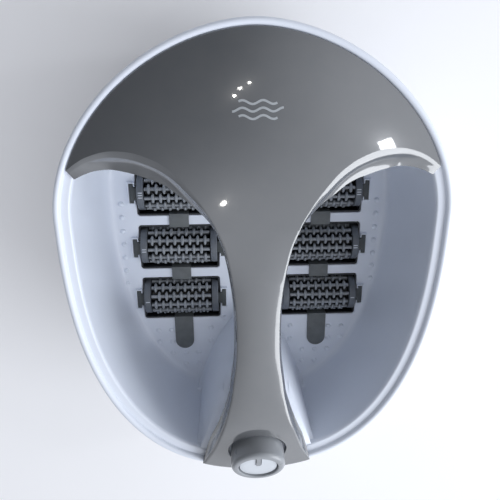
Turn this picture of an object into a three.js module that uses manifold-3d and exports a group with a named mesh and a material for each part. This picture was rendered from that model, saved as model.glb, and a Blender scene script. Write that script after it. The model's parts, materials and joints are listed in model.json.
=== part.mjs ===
// Pedicure foot bath: an egg-shaped basin with two foot wells, a lift-off splash cover whose neck
// runs forward to a rotary control knob, six massage rollers, and an air pump, vibration motor and
// heaters in the machine space under the floor.
// Millimetres, +Z up, the user sits at -Y, origin at the centre of the footprint on the ground.
import * as THREE from 'three'
import { mergeVertices } from 'three/addons/utils/BufferGeometryUtils.js'
import Module from 'manifold-3d'

const wasm = await Module()
wasm.setup()

// ---- driving dimensions ----
const GAP = 0.3                 // working gap between neighbouring pieces
const HALF_WIDTH = 175          // rim outline: half width, and reach behind and ahead of WIDEST_Y
const BACK_REACH = 162
const FRONT_REACH = 268
const WIDEST_Y = 53
const BACK_POWER = 1.84         // superellipse powers of the two halves of the outline
const FRONT_POWER = 2.45
const RIM_Z = 175
const FLOOR_Z = 63
const WALL = 3                  // plastic wall thickness of the basin and casing
const LEDGE_Z = RIM_Z - 3.8     // ledge inside the rolled rim that carries the cover
const PLATE_Z = 7.8             // underside of the base plate
const PLATE_TOP = PLATE_Z + WALL
const SEGMENTS = 40             // points round the egg outline

const ROW_Y = [49, -12, -73]    // rear, middle and front roller rows
const ROLLER_X = 77.5
const POCKET_X = 86
const POCKET_Y = 50
const POCKET_Z = 27
const BARREL_RADIUS = 22
const BARREL_LENGTH = 67
const BARREL_RIBS = 12
const AXLE_Z = FLOOR_Z - 10
const AXLE_RADIUS = 2.5
const CHEEK = 8.7
const STRIP_X = 76.5
const STRIP_WIDTH = 21
const STRIP_THICK = 1.5
const TRAY_WALL = 1.5
const TRAY_FLOOR = 1
const BRACKET_X = 51.2          // end wall of a floor bracket, from the roller's centre
const TAB = { half: 10.2, neck: 6.5, near: 45.3, far: 49.5, thick: 2.7 }

const COVER_INSET = 7
const COVER_WALL = 2.5
const COVER_EDGE_Z = LEDGE_Z + GAP + COVER_WALL
const DOME_RISE = 35
const KNOB_TILT = THREE.MathUtils.degToRad(25)
const KNOB_Y = -180
const KNOB_RADIUS = 26
const KNOB_HOLE_RADIUS = 28.75
const NOSE_FRONT_Y = WIDEST_Y - FRONT_REACH
const NOSE_EDGE_Z = RIM_Z + GAP + COVER_WALL    // the nose lies over the rim
const KNOB_Z = NOSE_EDGE_Z + Math.tan(KNOB_TILT) * (KNOB_Y - NOSE_FRONT_Y)
const ROOF_DEPTH = 10.5         // top of the basin hump, below the nose panel
const SEAT_DEPTH = 16           // floor of the switch recess in the hump
const SEAT_HALF = 16

const MOTOR = { y: -25, z: 36, radius: 17, length: 44 }
const CLAMP_X = 23.2
const BAY = { y: 127, radius: 55, top: 23 }     // cord bay in the base plate
const CORD_Z = 15.5
const PUMP = { x: -30, y: 122, z: 26.3 }
const FEET = [[-95, 122], [95, 122], [-80, -138], [80, -138]]
const BOSSES = [[-85, 100], [85, 100], [-98, -110], [98, -110]]

// ---- materials ----
const material = (color, roughness, metalness = 0) =>
  new THREE.MeshStandardMaterial({ color, roughness, metalness })
const WHITE = () => material(0xeef2f8, 0.3)
const COVER_GREY = () => material(0x7f838a, 0.2)
const ROLLER_GREY = () => material(0x6d7278, 0.5)
const STRIP_GREY = () => material(0x5c6264, 0.55)
const RUBBER = () => material(0x2b2c2e, 0.85)
const STEEL = () => material(0xb9bdc2, 0.3, 1)
const BOARD = () => material(0x2f6b45, 0.6)
const BRASS = () => material(0xb48f4a, 0.4, 1)
const DARK = () => material(0x35383c, 0.6)

// ---- mesh helpers ----
function indexed(points, faces) {
  const geometry = new THREE.BufferGeometry()
  geometry.setAttribute('position', new THREE.Float32BufferAttribute(points.flat(), 3))
  geometry.setIndex(faces.flat())
  return geometry
}

function toSolid(geometry) {
  const bare = geometry.clone()
  bare.deleteAttribute('normal')
  bare.deleteAttribute('uv')
  const merged = mergeVertices(bare, 1e-4)
  const vertProperties = new Float32Array(merged.attributes.position.array)
  const triVerts = new Uint32Array(merged.index.array)
  return new wasm.Manifold(new wasm.Mesh({ numProp: 3, vertProperties, triVerts }))
}

function toGeometry(solid) {
  const { vertProperties, triVerts } = solid.getMesh()
  const geometry = new THREE.BufferGeometry()
  geometry.setAttribute('position', new THREE.BufferAttribute(new Float32Array(vertProperties), 3))
  geometry.setIndex(new THREE.BufferAttribute(new Uint32Array(triVerts), 1))
  geometry.computeVertexNormals()
  return geometry
}

const join = (first, ...others) => others.reduce((sum, one) => sum.add(one), first)
const cut = (first, ...others) => others.reduce((rest, one) => rest.subtract(one), first)

// A box from its two corners.
function boxBetween(low, high) {
  const size = high.map((value, axis) => value - low[axis])
  const middle = high.map((value, axis) => (value + low[axis]) / 2)
  return toSolid(new THREE.BoxGeometry(...size).translate(...middle))
}

// An upright cylinder standing on z = low.
function upright(x, y, radius, low, high, sides = 24) {
  const geometry = new THREE.CylinderGeometry(radius, radius, high - low, sides)
  geometry.rotateX(Math.PI / 2).translate(x, y, (low + high) / 2)
  return toSolid(geometry)
}

// A profile of [radius, z] points turned about the Z axis.
function turned(profile, sides = 32) {
  const points = profile.map(([radius, z]) => new THREE.Vector2(radius, z))
  return toSolid(new THREE.LatheGeometry(points, sides).rotateX(Math.PI / 2))
}

// A round rod along X.
function rodAlongX(x, y, z, radius, length, sides = 16) {
  const geometry = new THREE.CylinderGeometry(radius, radius, length, sides)
  return toSolid(geometry.rotateZ(Math.PI / 2).translate(x, y, z))
}

// A round rod along Y.
function rodAlongY(x, y, z, radius, length, sides = 24) {
  return toSolid(new THREE.CylinderGeometry(radius, radius, length, sides).translate(x, y, z))
}

// A flat outline drawn in (y, z) and given a thickness along X, centred on x.
function slabAcrossX(outline, x, width) {
  const shape = new THREE.Shape(outline.map(([y, z]) => new THREE.Vector2(y, z)))
  const geometry = new THREE.ExtrudeGeometry(shape, { depth: width, bevelEnabled: false })
  const frame = new THREE.Matrix4().makeBasis(
    new THREE.Vector3(0, 1, 0), new THREE.Vector3(0, 0, 1), new THREE.Vector3(1, 0, 0))
  return toSolid(geometry.applyMatrix4(frame).translate(x - width / 2, 0, 0))
}

// A round tube that follows a smooth curve through the given points.
function tubeThrough(points, radius, steps, sides = 8) {
  const path = new THREE.CatmullRomCurve3(points.map((point) => new THREE.Vector3(...point)))
  const ring = new THREE.Shape()
  ring.absarc(0, 0, radius, 0, Math.PI * 2)
  const options = { steps, extrudePath: path, curveSegments: sides / 2, bevelEnabled: false }
  return toSolid(new THREE.ExtrudeGeometry(ring, options))
}

// ---- the egg outline ----
const signedPower = (value, power) => Math.sign(value) * Math.abs(value) ** power

// One ring of the egg outline, moved in by the given amounts at the side, front and back.
function eggRing(z, side, front = side, back = side) {
  return Array.from({ length: SEGMENTS }, (_, index) => {
    const angle = (index / SEGMENTS) * Math.PI * 2
    const ahead = Math.sin(angle) < 0
    const power = 2 / (ahead ? FRONT_POWER : BACK_POWER)
    const reach = ahead ? FRONT_REACH - front : BACK_REACH - back
    const x = signedPower(Math.cos(angle), power) * (HALF_WIDTH - side)
    return [x, WIDEST_Y + signedPower(Math.sin(angle), power) * reach, z]
  })
}

// Y of the inset outline at a given x, behind (+1) or ahead (-1) of the widest line.
function outlineY(x, inset, direction) {
  const power = direction > 0 ? BACK_POWER : FRONT_POWER
  const reach = (direction > 0 ? BACK_REACH : FRONT_REACH) - inset
  const share = Math.abs(x) / (HALF_WIDTH - inset)
  return WIDEST_Y + direction * reach * Math.max(0, 1 - share ** power) ** (1 / power)
}

// Skin over a list of rings; the ends are capped, or the last ring joins the first when closed.
function loft(rings, closed = false) {
  const count = rings[0].length
  const points = rings.flat()
  const faces = []
  const bands = closed ? rings.length : rings.length - 1
  for (let band = 0; band < bands; band += 1) {
    const low = band * count
    const high = ((band + 1) % rings.length) * count
    for (let index = 0; index < count; index += 1) {
      const next = (index + 1) % count
      faces.push([low + index, low + next, high + next], [low + index, high + next, high + index])
    }
  }
  if (!closed) {
    const addCap = (ring, start, flip) => {
      const centre = [0, 1, 2].map((axis) => ring.reduce((sum, p) => sum + p[axis], 0) / count)
      const tip = points.push(centre) - 1
      for (let index = 0; index < count; index += 1) {
        const next = (index + 1) % count
        faces.push(flip ? [tip, start + next, start + index] : [tip, start + index, start + next])
      }
    }
    addCap(rings[0], 0, true)
    addCap(rings[rings.length - 1], (rings.length - 1) * count, false)
  }
  return facingOut(points, faces)
}

// The closed mesh as a solid, with its faces turned round if they point inwards.
function facingOut(points, faces) {
  const volume = faces.reduce((sum, [a, b, c]) => {
    const [p, q, r] = [points[a], points[b], points[c]]
    return sum + p[0] * (q[1] * r[2] - q[2] * r[1]) - p[1] * (q[0] * r[2] - q[2] * r[0])
      + p[2] * (q[0] * r[1] - q[1] * r[0])
  }, 0)
  const turnedFaces = volume > 0 ? faces : faces.map(([a, b, c]) => [a, c, b])
  return toSolid(indexed(points, turnedFaces))
}

// ---- knob frame: local z runs out of the nose panel, local y points up the slope ----
function inKnobFrame(solid) {
  const turn = new THREE.Matrix4().makeRotationX(KNOB_TILT)
  turn.setPosition(0, KNOB_Y, KNOB_Z)
  return solid.transform(turn.elements)
}

// ---- basin ----
const UNDERSIDE = [
  [FLOOR_Z - 3, 31, 25, 41], [FLOOR_Z - 1.5, 26, 20, 34], [FLOOR_Z + 5, 22.5, 17, 29.5],
  [FLOOR_Z + 21, 19.5, 15.5, 24], [115, 16.5, 14, 19], [150, 14, 12.8, 14], [165, 12],
]

function basinShell() {
  const inside = [
    [FLOOR_Z, 32, 26, 42], [FLOOR_Z + 1.5, 28, 22.5, 36], [FLOOR_Z + 7, 25, 20, 32],
    [FLOOR_Z + 22, 22.5, 18.5, 27], [115, 19.5, 17, 22], [150, 17, 15.8, 17], [168, 15],
    [LEDGE_Z, 13], [LEDGE_Z, 6.4], [RIM_Z - 1, 6], [RIM_Z, 3.2], [RIM_Z - 3, 0.8],
    [RIM_Z - 9, 0], [RIM_Z - 17, 0.6],
  ]
  const lipInside = [[RIM_Z - 17, 2.8], [LEDGE_Z - WALL, 3.6], [LEDGE_Z - WALL, 9.5]]
  const rings = [...inside, ...lipInside, ...[...UNDERSIDE].reverse()]
  return loft(rings.map((row) => eggRing(...row)))
}

// The hump under the cover's neck: pointed towards the back, blunt at the front.
const HUMP = { y: -205, ahead: 30, power: 1.5, sides: 24 }
const HUMP_STATIONS = [[FLOOR_Z - 2, 64, 122], [165, 55.5, 125], [184, 48, 100], [190, 44, 88]]

function humpLoft(shrink, lowest, topDepth) {
  const rings = HUMP_STATIONS.map(([height, half, back], station) =>
    Array.from({ length: HUMP.sides }, (_, index) => {
      const angle = (index / HUMP.sides) * Math.PI * 2
      const ahead = Math.sin(angle) < 0
      const power = ahead ? 1 : 2 / HUMP.power
      const reach = ahead ? HUMP.ahead : back - shrink
      const x = signedPower(Math.cos(angle), power) * (half - shrink)
      const z = station === 0 ? lowest : height - shrink
      return [x, HUMP.y + signedPower(Math.sin(angle), power) * reach, z]
    }))
  const above = inKnobFrame(boxBetween([-120, -120, -topDepth], [120, 160, 90]))
  return cut(loft(rings), above)
}

// A low wall on the floor that wraps round the end of a module tab; its own end wall is at x.
const BRACKET = { half: 12, wall: 1.4, reach: 7.6, hook: 4.6, rise: 3 }

function bracketRib(x, y, side) {
  const { half, wall, reach, hook, rise } = BRACKET
  const lower = [[0, -half], [-reach, -half], [-reach, -half + hook], [-reach + wall, -half + hook],
    [-reach + wall, -half + wall], [-wall, -half + wall]]
  const upper = lower.map(([u, v]) => [u, -v]).reverse()
  const outline = [...lower, ...upper]
  const shape = new THREE.Shape(outline.map(([u, v]) => new THREE.Vector2(u, v)))
  const geometry = new THREE.ExtrudeGeometry(shape, { depth: rise + 1, bevelEnabled: false })
  if (side < 0) geometry.rotateZ(Math.PI)
  return toSolid(geometry.translate(x, y, FLOOR_Z - 1))
}

function nubCentres() {
  const column = Array.from({ length: 7 }, (_, index) => [137, 37.2 - 15.2 * index])
  const front = [[106, -114], [106, -129], [91, -114], [91, -129], [91, -144], [76, -144],
    [61, -144], [76, -159], [61, -159], [46, -112], [46, -129], [31, -99]]
  return [...column, ...front]
}

function basin() {
  let body = basinShell()
  const filled = loft([...UNDERSIDE, [LEDGE_Z - 1, 12], [RIM_Z + 30, 13.5]]
    .map((row) => eggRing(...row)))
  body = join(body, humpLoft(0, FLOOR_Z - 2, ROOF_DEPTH).intersect(filled))
  const wells = []
  for (const side of [-1, 1]) {
    for (const y of ROW_Y) {
      const x = side * ROLLER_X
      const halfX = POCKET_X / 2
      const halfY = POCKET_Y / 2
      const low = [x - halfX, y - halfY]
      const high = [x + halfX, y + halfY]
      const outer = boxBetween([low[0] - WALL, low[1] - WALL, POCKET_Z - WALL],
        [high[0] + WALL, high[1] + WALL, FLOOR_Z - 1])
      wells.push(boxBetween([...low, POCKET_Z], [...high, FLOOR_Z + 1]))
      body = join(body, outer, bracketRib(x + side * BRACKET_X, y, side),
        bracketRib(x - side * BRACKET_X, y, -side))
    }
    for (const [x, y] of nubCentres()) {
      body = join(body, upright(side * x, y, 2.3, FLOOR_Z - 1, FLOOR_Z + 2, 5))
    }
    body = join(body, upright(side * STRIP_X, 88, 5, FLOOR_Z - 14, FLOOR_Z - 2, 12))
    wells.push(upright(side * STRIP_X, 88, 3, FLOOR_Z - 15, FLOOR_Z + 1, 12))
  }
  for (const [x, y] of BOSSES) {
    body = join(body, upright(x, y, 4.5, PLATE_TOP + GAP, FLOOR_Z - 2, 12))
    wells.push(upright(x, y, 2.3, PLATE_TOP, PLATE_TOP + 16, 12))
  }
  const inside = loft([[40, 36, 30, 46], [100, 22], [RIM_Z + 30, 18]].map((row) => eggRing(...row)))
  const seatOuter = SEAT_HALF + WALL
  const seatBlock = inKnobFrame(boxBetween([-seatOuter, -seatOuter, -SEAT_DEPTH - WALL],
    [seatOuter, seatOuter, 0]))
  const hollow = cut(humpLoft(WALL, FLOOR_Z - WALL - 8, ROOF_DEPTH + WALL).intersect(inside), seatBlock)
  const seat = inKnobFrame(boxBetween([-SEAT_HALF, -SEAT_HALF, -SEAT_DEPTH],
    [SEAT_HALF, SEAT_HALF, 10]))
  const switchHole = inKnobFrame(turned([[0, -30], [4.8, -30], [4.8, 0], [0, 0]], 20))
  return cut(body, hollow, seat, switchHole, ...wells)
}

// ---- casing and base ----
function outerCasing() {
  const rows = [
    [RIM_Z - 9, 4], [RIM_Z - 17.5, 4], [RIM_Z - 17.5, 1.2], [120, 4], [60, 13], [20, 20],
    [7, 22], [4.5, 24], [4.5, 33], [7.5, 33], [7.5, 25.2], [60, 16], [120, 7.2],
    [RIM_Z - 9, 7],
  ]
  return loft(rows.map((row) => eggRing(...row)), true)
}

function basePlate() {
  const plate = loft([eggRing(PLATE_Z, 27.5), eggRing(PLATE_TOP, 27.5)])
  const bayOuter = upright(0, BAY.y, BAY.radius + WALL, PLATE_Z, BAY.top + 2.8, 28)
  const bayInner = upright(0, BAY.y, BAY.radius, PLATE_Z - 5, BAY.top, 28)
  const saddles = [-1, 1].map((side) => boxBetween(
    [side * 20.5 - 6.5, MOTOR.y - 9, PLATE_TOP - 1], [side * 20.5 + 6.5, MOTOR.y + 9, MOTOR.z - 1]))
  const motorSeat = rodAlongY(0, MOTOR.y, MOTOR.z, MOTOR.radius + GAP, 60)
  const screwHoles = BOSSES.map(([x, y]) => upright(x, y, 2.3, 0, 20, 12))
  const clampHoles = [-1, 1].map((side) => upright(side * CLAMP_X, MOTOR.y, 1.6, 22, 40, 8))
  const vents = [-2, -1, 0, 1, 2].map((index) => boxBetween(
    [index * 12 - 2.5, -90, 0], [index * 12 + 2.5, -60, 20]))
  const cordHole = rodAlongY(0, BAY.y - BAY.radius, CORD_Z, 5.6, 20, 16)
  const posts = [[-20, -128], [20, -128], [-20, -104], [20, -104]].map(([x, y]) =>
    upright(x, y, 3, PLATE_TOP - 1, 18, 10))
  return cut(join(plate, bayOuter, ...saddles, ...posts), bayInner, motorSeat, cordHole,
    ...screwHoles, ...clampHoles, ...vents)
}

const footPad = (x, y) => {
  const profile = [[0, 0], [10.5, 0], [12, 1.5], [12, 7.5], [0, 7.5]]
  return turned(profile, 16).translate(x, y, 0)
}

// A pan-head screw pointing up, its head resting under z = 0 of the profile.
const screwUp = (x, y, z, length, thread = 2) => {
  const head = thread * 2
  const profile = [[0, -2.2], [head * 0.8, -2.2], [head, -1.2], [head, 0], [thread, 0],
    [thread, length], [0, length]]
  return turned(profile, 8).translate(x, y, z)
}

const screwDown = (x, y, z, length, thread) =>
  screwUp(0, 0, 0, length, thread).rotate([180, 0, 0]).translate(x, y, z)

// ---- rollers ----
function barrel() {
  const shape = new THREE.Shape()
  const core = BARREL_RADIUS - 6
  for (let rib = 0; rib < BARREL_RIBS; rib += 1) {
    for (const [share, radius] of [[0, core], [0.3, core], [0.42, BARREL_RADIUS],
      [0.88, BARREL_RADIUS]]) {
      const angle = ((rib + share) / BARREL_RIBS) * Math.PI * 2
      const step = rib + share === 0 ? 'moveTo' : 'lineTo'
      shape[step](Math.cos(angle) * radius, Math.sin(angle) * radius)
    }
  }
  const geometry = new THREE.ExtrudeGeometry(shape, { depth: BARREL_LENGTH, bevelEnabled: false })
  const solid = toSolid(geometry.translate(0, 0, -BARREL_LENGTH / 2).rotateY(Math.PI / 2))
  return cut(solid, rodAlongX(0, 0, 0, AXLE_RADIUS + GAP, BARREL_LENGTH + 4, 12))
}

// A flat bar between two X positions given in either order, centred on Y.
const crossBar = (xa, xb, halfY, low, high) =>
  boxBetween([Math.min(xa, xb), -halfY, low], [Math.max(xa, xb), halfY, high])

// The module that drops into a floor pocket: an open tray with two arched cheeks that hold the
// axle, end tabs to lift it by, and slots in its walls where the air strip passes.
function cradle(outward) {
  const halfX = POCKET_X / 2 - GAP
  const halfY = POCKET_Y / 2 - GAP
  const low = POCKET_Z + STRIP_THICK + 2 * GAP - AXLE_Z
  const floorTop = low + TRAY_FLOOR
  const rim = FLOOR_Z - 0.6 - AXLE_Z
  const tray = cut(boxBetween([-halfX, -halfY, low], [halfX, halfY, rim]),
    boxBetween([-halfX + TRAY_WALL, -halfY + TRAY_WALL, floorTop],
      [halfX - TRAY_WALL, halfY - TRAY_WALL, rim + 1]))
  const arch = Array.from({ length: 9 }, (_, index) => {
    const angle = (index / 8) * Math.PI
    return [Math.cos(angle) * 20, Math.sin(angle) * 20 + 1]
  })
  const cheekOutline = [[-20, floorTop - 0.2], [20, floorTop - 0.2], ...arch]
  const cheeks = [-1, 1].map((side) =>
    slabAcrossX(cheekOutline, side * (halfX - CHEEK / 2), CHEEK))
  const tabTop = FLOOR_Z - AXLE_Z + BRACKET.rise
  const tabLow = tabTop - TAB.thick
  const tabs = [-1, 1].flatMap((side) => [
    crossBar(side * (halfX - 2), side * (TAB.near + 1), TAB.neck, tabLow, tabTop),
    crossBar(side * TAB.near, side * TAB.far, TAB.half, tabLow, tabTop),
  ])
  const tickX = outward * (halfX - CHEEK / 2)
  const tick = boxBetween([tickX - 3, -0.8, 20], [tickX + 3, 0.8, 21.8])
  const stripX = outward * (STRIP_X - ROLLER_X)
  const reach = STRIP_WIDTH / 2 + GAP
  const slotY = halfY - STRIP_THICK - GAP
  const slots = [-1, 1].map((side) => boxBetween(
    [stripX - reach, side < 0 ? -30 : slotY, low - 1],
    [stripX + reach, side < 0 ? -slotY : 30, rim + 1]))
  const axleHole = rodAlongX(0, 0, 0, AXLE_RADIUS + GAP, POCKET_X + 10, 10)
  return cut(join(tray, ...cheeks, ...tabs, tick), axleHole, ...slots)
}

// ---- air strips: a ribbon laid on the floor that dips under each roller ----
function airStrip(side) {
  const lift = FLOOR_Z + GAP
  const depth = POCKET_Z + GAP
  const halfPocket = POCKET_Y / 2 - GAP
  const top = []
  const bottom = []
  const addPoint = (y, z, towardsPocket) => {
    bottom.push([y, z])
    top.push([y + towardsPocket * STRIP_THICK, z + STRIP_THICK])
  }
  addPoint(98, lift, 0)
  for (const y of ROW_Y) {
    addPoint(y + halfPocket, lift, -1)
    addPoint(y + halfPocket, depth, -1)
    addPoint(y - halfPocket, depth, 1)
    addPoint(y - halfPocket, lift, 1)
  }
  const endY = -137 + STRIP_WIDTH / 2
  addPoint(endY, lift, 0)
  const ribbon = slabAcrossX([...bottom, ...top.reverse()], side * STRIP_X, STRIP_WIDTH)
  const roundEnd = upright(side * STRIP_X, endY, STRIP_WIDTH / 2, lift, lift + STRIP_THICK, 16)
  const airHole = upright(side * STRIP_X, 88, 3, 0, 80, 12)
  return cut(join(ribbon, roundEnd), airHole)
}

// ---- splash cover ----
// Crest of the wings as [x, y, width of the lip below it]; edge of the neck as [y, half width].
const CREST = [[33, 50, 2.6], [37, 58.8, 3.8], [46, 73.5, 7], [54, 84, 10.4], [64, 95.2, 13],
  [74, 103, 15.2], [84, 108.2, 17], [100, 113.1, 18], [120, 113.7, 16.6], [138, 108.8, 13.6],
  [149.5, 102.7, 11.4], [158.4, 96.2, 9.4]]
const NECK = [[50, 33], [37, 28.1], [22, 24.6], [7.5, 22.1], [-8, 20.1], [-27, 18.6],
  [-49, 18.3], [-72, 19.1], [-94.5, 21.9], [-110, 23.9], [-123.5, 26.8], [-138, 30.1],
  [-155, 34.9], [-177, 42.1], [-191, 48.1]]
const NECK_FRONT_HALF = 54.3
const NECK_CROWN = 4            // how far the neck's edges lie below its middle
const LIP = { neck: 2.6, nose: 6, drop: 9 }
const CENTRE_COLUMNS = [-1, -0.75, -0.5, -0.25, 0, 0.25, 0.5, 0.75, 1]
const DOME_ROWS = 6

function coverHeight(x, y) {
  const back = Math.max(0, y - WIDEST_Y) / (BACK_REACH - COVER_INSET)
  const side = Math.min(1, Math.abs(x) / (HALF_WIDTH - COVER_INSET))
  const radius = Math.min(1, (side ** BACK_POWER + back ** BACK_POWER) ** (1 / BACK_POWER))
  const dome = COVER_EDGE_Z + DOME_RISE * (1 - radius ** 2.6)
  const nose = NOSE_EDGE_Z + Math.tan(KNOB_TILT) * (y - NOSE_FRONT_Y)
  const blend = 4
  return -blend * Math.log(Math.exp(-dome / blend) + Math.exp(-nose / blend))
}

// Width of the sloping lip beside the neck: narrow, and wider towards the nose.
const neckLip = (y) =>
  LIP.neck + (LIP.nose - LIP.neck) * THREE.MathUtils.clamp((-110 - y) / 45, 0, 1)

function splashCover() {
  const points = []
  const faces = []
  const place = (x, y, z) => points.push([x, y, z]) - 1
  const onTop = (x, y) => place(x, y, coverHeight(x, y))
  const columns = [
    ...CREST.slice(1).reverse().map(([x, y]) => [-x, y]),
    ...CENTRE_COLUMNS.map((share) => [share * CREST[0][0], CREST[0][1]]),
    ...CREST.slice(1),
  ]
  const dome = columns.map(([x, crestY]) => {
    const backY = outlineY(x, COVER_INSET, 1)
    return Array.from({ length: DOME_ROWS + 1 }, (_, row) =>
      onTop(x, backY + (crestY - backY) * (row / DOME_ROWS)))
  })
  const strip = (left, right) => {
    for (let row = 0; row + 1 < left.length; row += 1) {
      faces.push([left[row], left[row + 1], right[row + 1]], [left[row], right[row + 1], right[row]])
    }
  }
  for (let index = 0; index + 1 < dome.length; index += 1) strip(dome[index], dome[index + 1])
  const firstCentre = CREST.length - 1
  const neck = CENTRE_COLUMNS.map((share, index) => {
    const start = dome[firstCentre + index][DOME_ROWS]
    const frontX = share * NECK_FRONT_HALF
    const frontY = outlineY(frontX, GAP + 2.7 * share * share, -1)
    const rows = NECK.slice(1).map(([y, half]) => [share * half, y])
    return [start, ...[...rows, [frontX, frontY]].map(([x, y]) => {
      const crown = NECK_CROWN * share * share * Math.min(1, (NECK[0][0] - y) / 50)
      return place(x, y, Math.max(NOSE_EDGE_Z, coverHeight(x, y) - crown))
    })]
  })
  for (let index = 0; index + 1 < neck.length; index += 1) strip(neck[index], neck[index + 1])

  // The sloping lip along both openings, from the wing tips to the nose.
  const lip = (side) => {
    const wing = CREST.map((_, index) => {
      const column = side < 0 ? firstCentre - index : firstCentre + CENTRE_COLUMNS.length - 1 + index
      return dome[column][DOME_ROWS]
    }).reverse()
    const along = [...wing, ...neck[side < 0 ? 0 : neck.length - 1].slice(1)]
    const edge = along.map((corner, index) => {
      const [x, y, z] = points[corner]
      const [before, after] = [points[along[Math.max(0, index - 1)]],
        points[along[Math.min(along.length - 1, index + 1)]]]
      const run = Math.hypot(after[0] - before[0], after[1] - before[1])
      const normal = [-side * (after[1] - before[1]) / run, side * (after[0] - before[0]) / run]
      const fromTip = Math.min(1, index / 3)
      const fromNose = Math.min(1, (y - points[along[along.length - 1]][1]) / 28)
      const onWing = CREST[CREST.length - 1 - index]
      const width = onWing ? onWing[2] : neckLip(y)
      const out = width * (0.06 + 0.94 * fromNose)
      const drop = LIP.drop * (0.1 + 0.9 * fromTip) * (0.02 + 0.98 * fromNose)
      return place(x + normal[0] * out, y + normal[1] * out, z - drop)
    })
    strip(side < 0 ? edge : along, side < 0 ? along : edge)
  }
  lip(-1)
  lip(1)
  const shell = thickened(points, faces, COVER_WALL)
  const knobHole = inKnobFrame(turned([[0, -12], [KNOB_HOLE_RADIUS, -12], [KNOB_HOLE_RADIUS, 30],
    [0, 30]], 32))
  return cut(shell, knobHole)
}

// A sheet given a thickness straight down, with its open edges closed.
function thickened(points, faces, wall) {
  const count = points.length
  const all = [...points, ...points.map(([x, y, z]) => [x, y, z - wall])]
  const closed = [...faces, ...faces.map(([a, b, c]) => [a + count, c + count, b + count])]
  const used = new Set(faces.flatMap(([a, b, c]) => [`${a},${b}`, `${b},${c}`, `${c},${a}`]))
  for (const edge of used) {
    const [a, b] = edge.split(',').map(Number)
    if (!used.has(`${b},${a}`)) closed.push([b, a, a + count], [b, a + count, b + count])
  }
  return facingOut(all, closed)
}

// ---- knob and switch ----
const KNOB_TOP = 17.2           // the ring round the face, above the nose panel
const FACE_BED = 13.5
const FACE_RADIUS = 18.5
const FACE_THICK = 1.6
const POINTER = { half: 2, tip: 4 }

function knobBody() {
  const profile = [[0, 8], [3.3, 8], [3.3, -2], [KNOB_RADIUS, -2], [KNOB_RADIUS, 12.5],
    [KNOB_RADIUS - 1.5, 15.4], [KNOB_RADIUS - 4.5, KNOB_TOP], [FACE_RADIUS + GAP, KNOB_TOP],
    [FACE_RADIUS + GAP, FACE_BED], [0, FACE_BED]]
  const pointer = boxBetween([-POINTER.half, POINTER.tip, FACE_BED - 0.5],
    [POINTER.half, FACE_RADIUS + 1, KNOB_TOP])
  return inKnobFrame(join(turned(profile, 32), pointer))
}

function knobFace() {
  const low = FACE_BED + GAP
  const disc = turned([[0, low], [FACE_RADIUS, low], [FACE_RADIUS, low + FACE_THICK],
    [0, low + FACE_THICK]], 32)
  const notch = boxBetween([-POINTER.half - GAP, POINTER.tip - GAP, FACE_BED - 1],
    [POINTER.half + GAP, FACE_RADIUS + 5, KNOB_TOP])
  return inKnobFrame(cut(disc, notch))
}

const switchShaft = () =>
  inKnobFrame(turned([[0, -29.7], [3, -29.7], [3, 7.7], [0, 7.7]], 20))

function rotarySwitch() {
  const top = -SEAT_DEPTH - WALL - GAP
  return inKnobFrame(turned([[0, top - 20], [15, top - 20], [15, top], [4.5, top], [4.5, -8],
    [3.3, -8], [3.3, -30], [0, -30]], 16))
}

const washer = (inner, outer, low, high, sides) =>
  inKnobFrame(turned([[inner, low], [outer, low], [outer, high], [inner, high], [inner, low]], sides))

function switchNut() {
  const [low, high] = [-SEAT_DEPTH + 1.8, -SEAT_DEPTH + 5]
  const hexagon = turned([[0, low], [8, low], [8, high], [0, high]], 6)
  return inKnobFrame(cut(hexagon, upright(0, 0, 4.8, low - 1, high + 1, 16)))
}

// ---- vibration motor ----
const motorCan = () => cut(
  rodAlongY(0, MOTOR.y, MOTOR.z, MOTOR.radius, MOTOR.length, 20),
  rodAlongY(0, MOTOR.y, MOTOR.z, 2.8, MOTOR.length + 4, 16))

const motorShaft = () => rodAlongY(0, MOTOR.y, MOTOR.z, 2.5, MOTOR.length + 20, 16)

function eccentricWeight(side) {
  const y = MOTOR.y + side * (MOTOR.length / 2 + 5)
  const disc = rodAlongY(0, y, MOTOR.z, 14, 6, 24)
  const upper = boxBetween([-20, y - 5, MOTOR.z + 5], [20, y + 5, MOTOR.z + 20])
  return cut(disc, upper, rodAlongY(0, y, MOTOR.z, 2.5 + GAP, 20, 16))
}

function motorClamp() {
  const strap = cut(rodAlongY(0, MOTOR.y, MOTOR.z, MOTOR.radius + 2.3, 12, 28),
    rodAlongY(0, MOTOR.y, MOTOR.z, MOTOR.radius + GAP, 20, 28),
    boxBetween([-40, MOTOR.y - 20, 0], [40, MOTOR.y + 20, MOTOR.z + 0.5]))
  const ears = [-1, 1].map((side) => boxBetween(
    [side * 22.5 - 4.5, MOTOR.y - 6, MOTOR.z - 1 + GAP],
    [side * 22.5 + 4.5, MOTOR.y + 6, MOTOR.z + 1.6]))
  const holes = [-1, 1].map((side) => upright(side * CLAMP_X, MOTOR.y, 1.8, 20, 50, 8))
  return cut(join(strap, ...ears), rodAlongY(0, MOTOR.y, MOTOR.z, MOTOR.radius + GAP, 20, 28),
    ...holes)
}

// ---- air pump ----
function pumpBody() {
  const { x, y, z } = PUMP
  const bed = boxBetween([x - 28, y - 20, z], [x + 28, y + 20, z + 4])
  const chamber = boxBetween([x - 4, y + 2, z + 3], [x + 18, y + 19, z + 25])
  const coil = boxBetween([x + 14, y - 19, z + 3], [x + 26, y - 15, z + 20])
  const pivot = upright(x - 22, y - 6, 3, z + 3, z + 22, 16)
  const outlet = rodAlongX(x + 21, y + 11, z + 15, 3, 8)
  return join(bed, chamber, coil, pivot, outlet)
}

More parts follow.
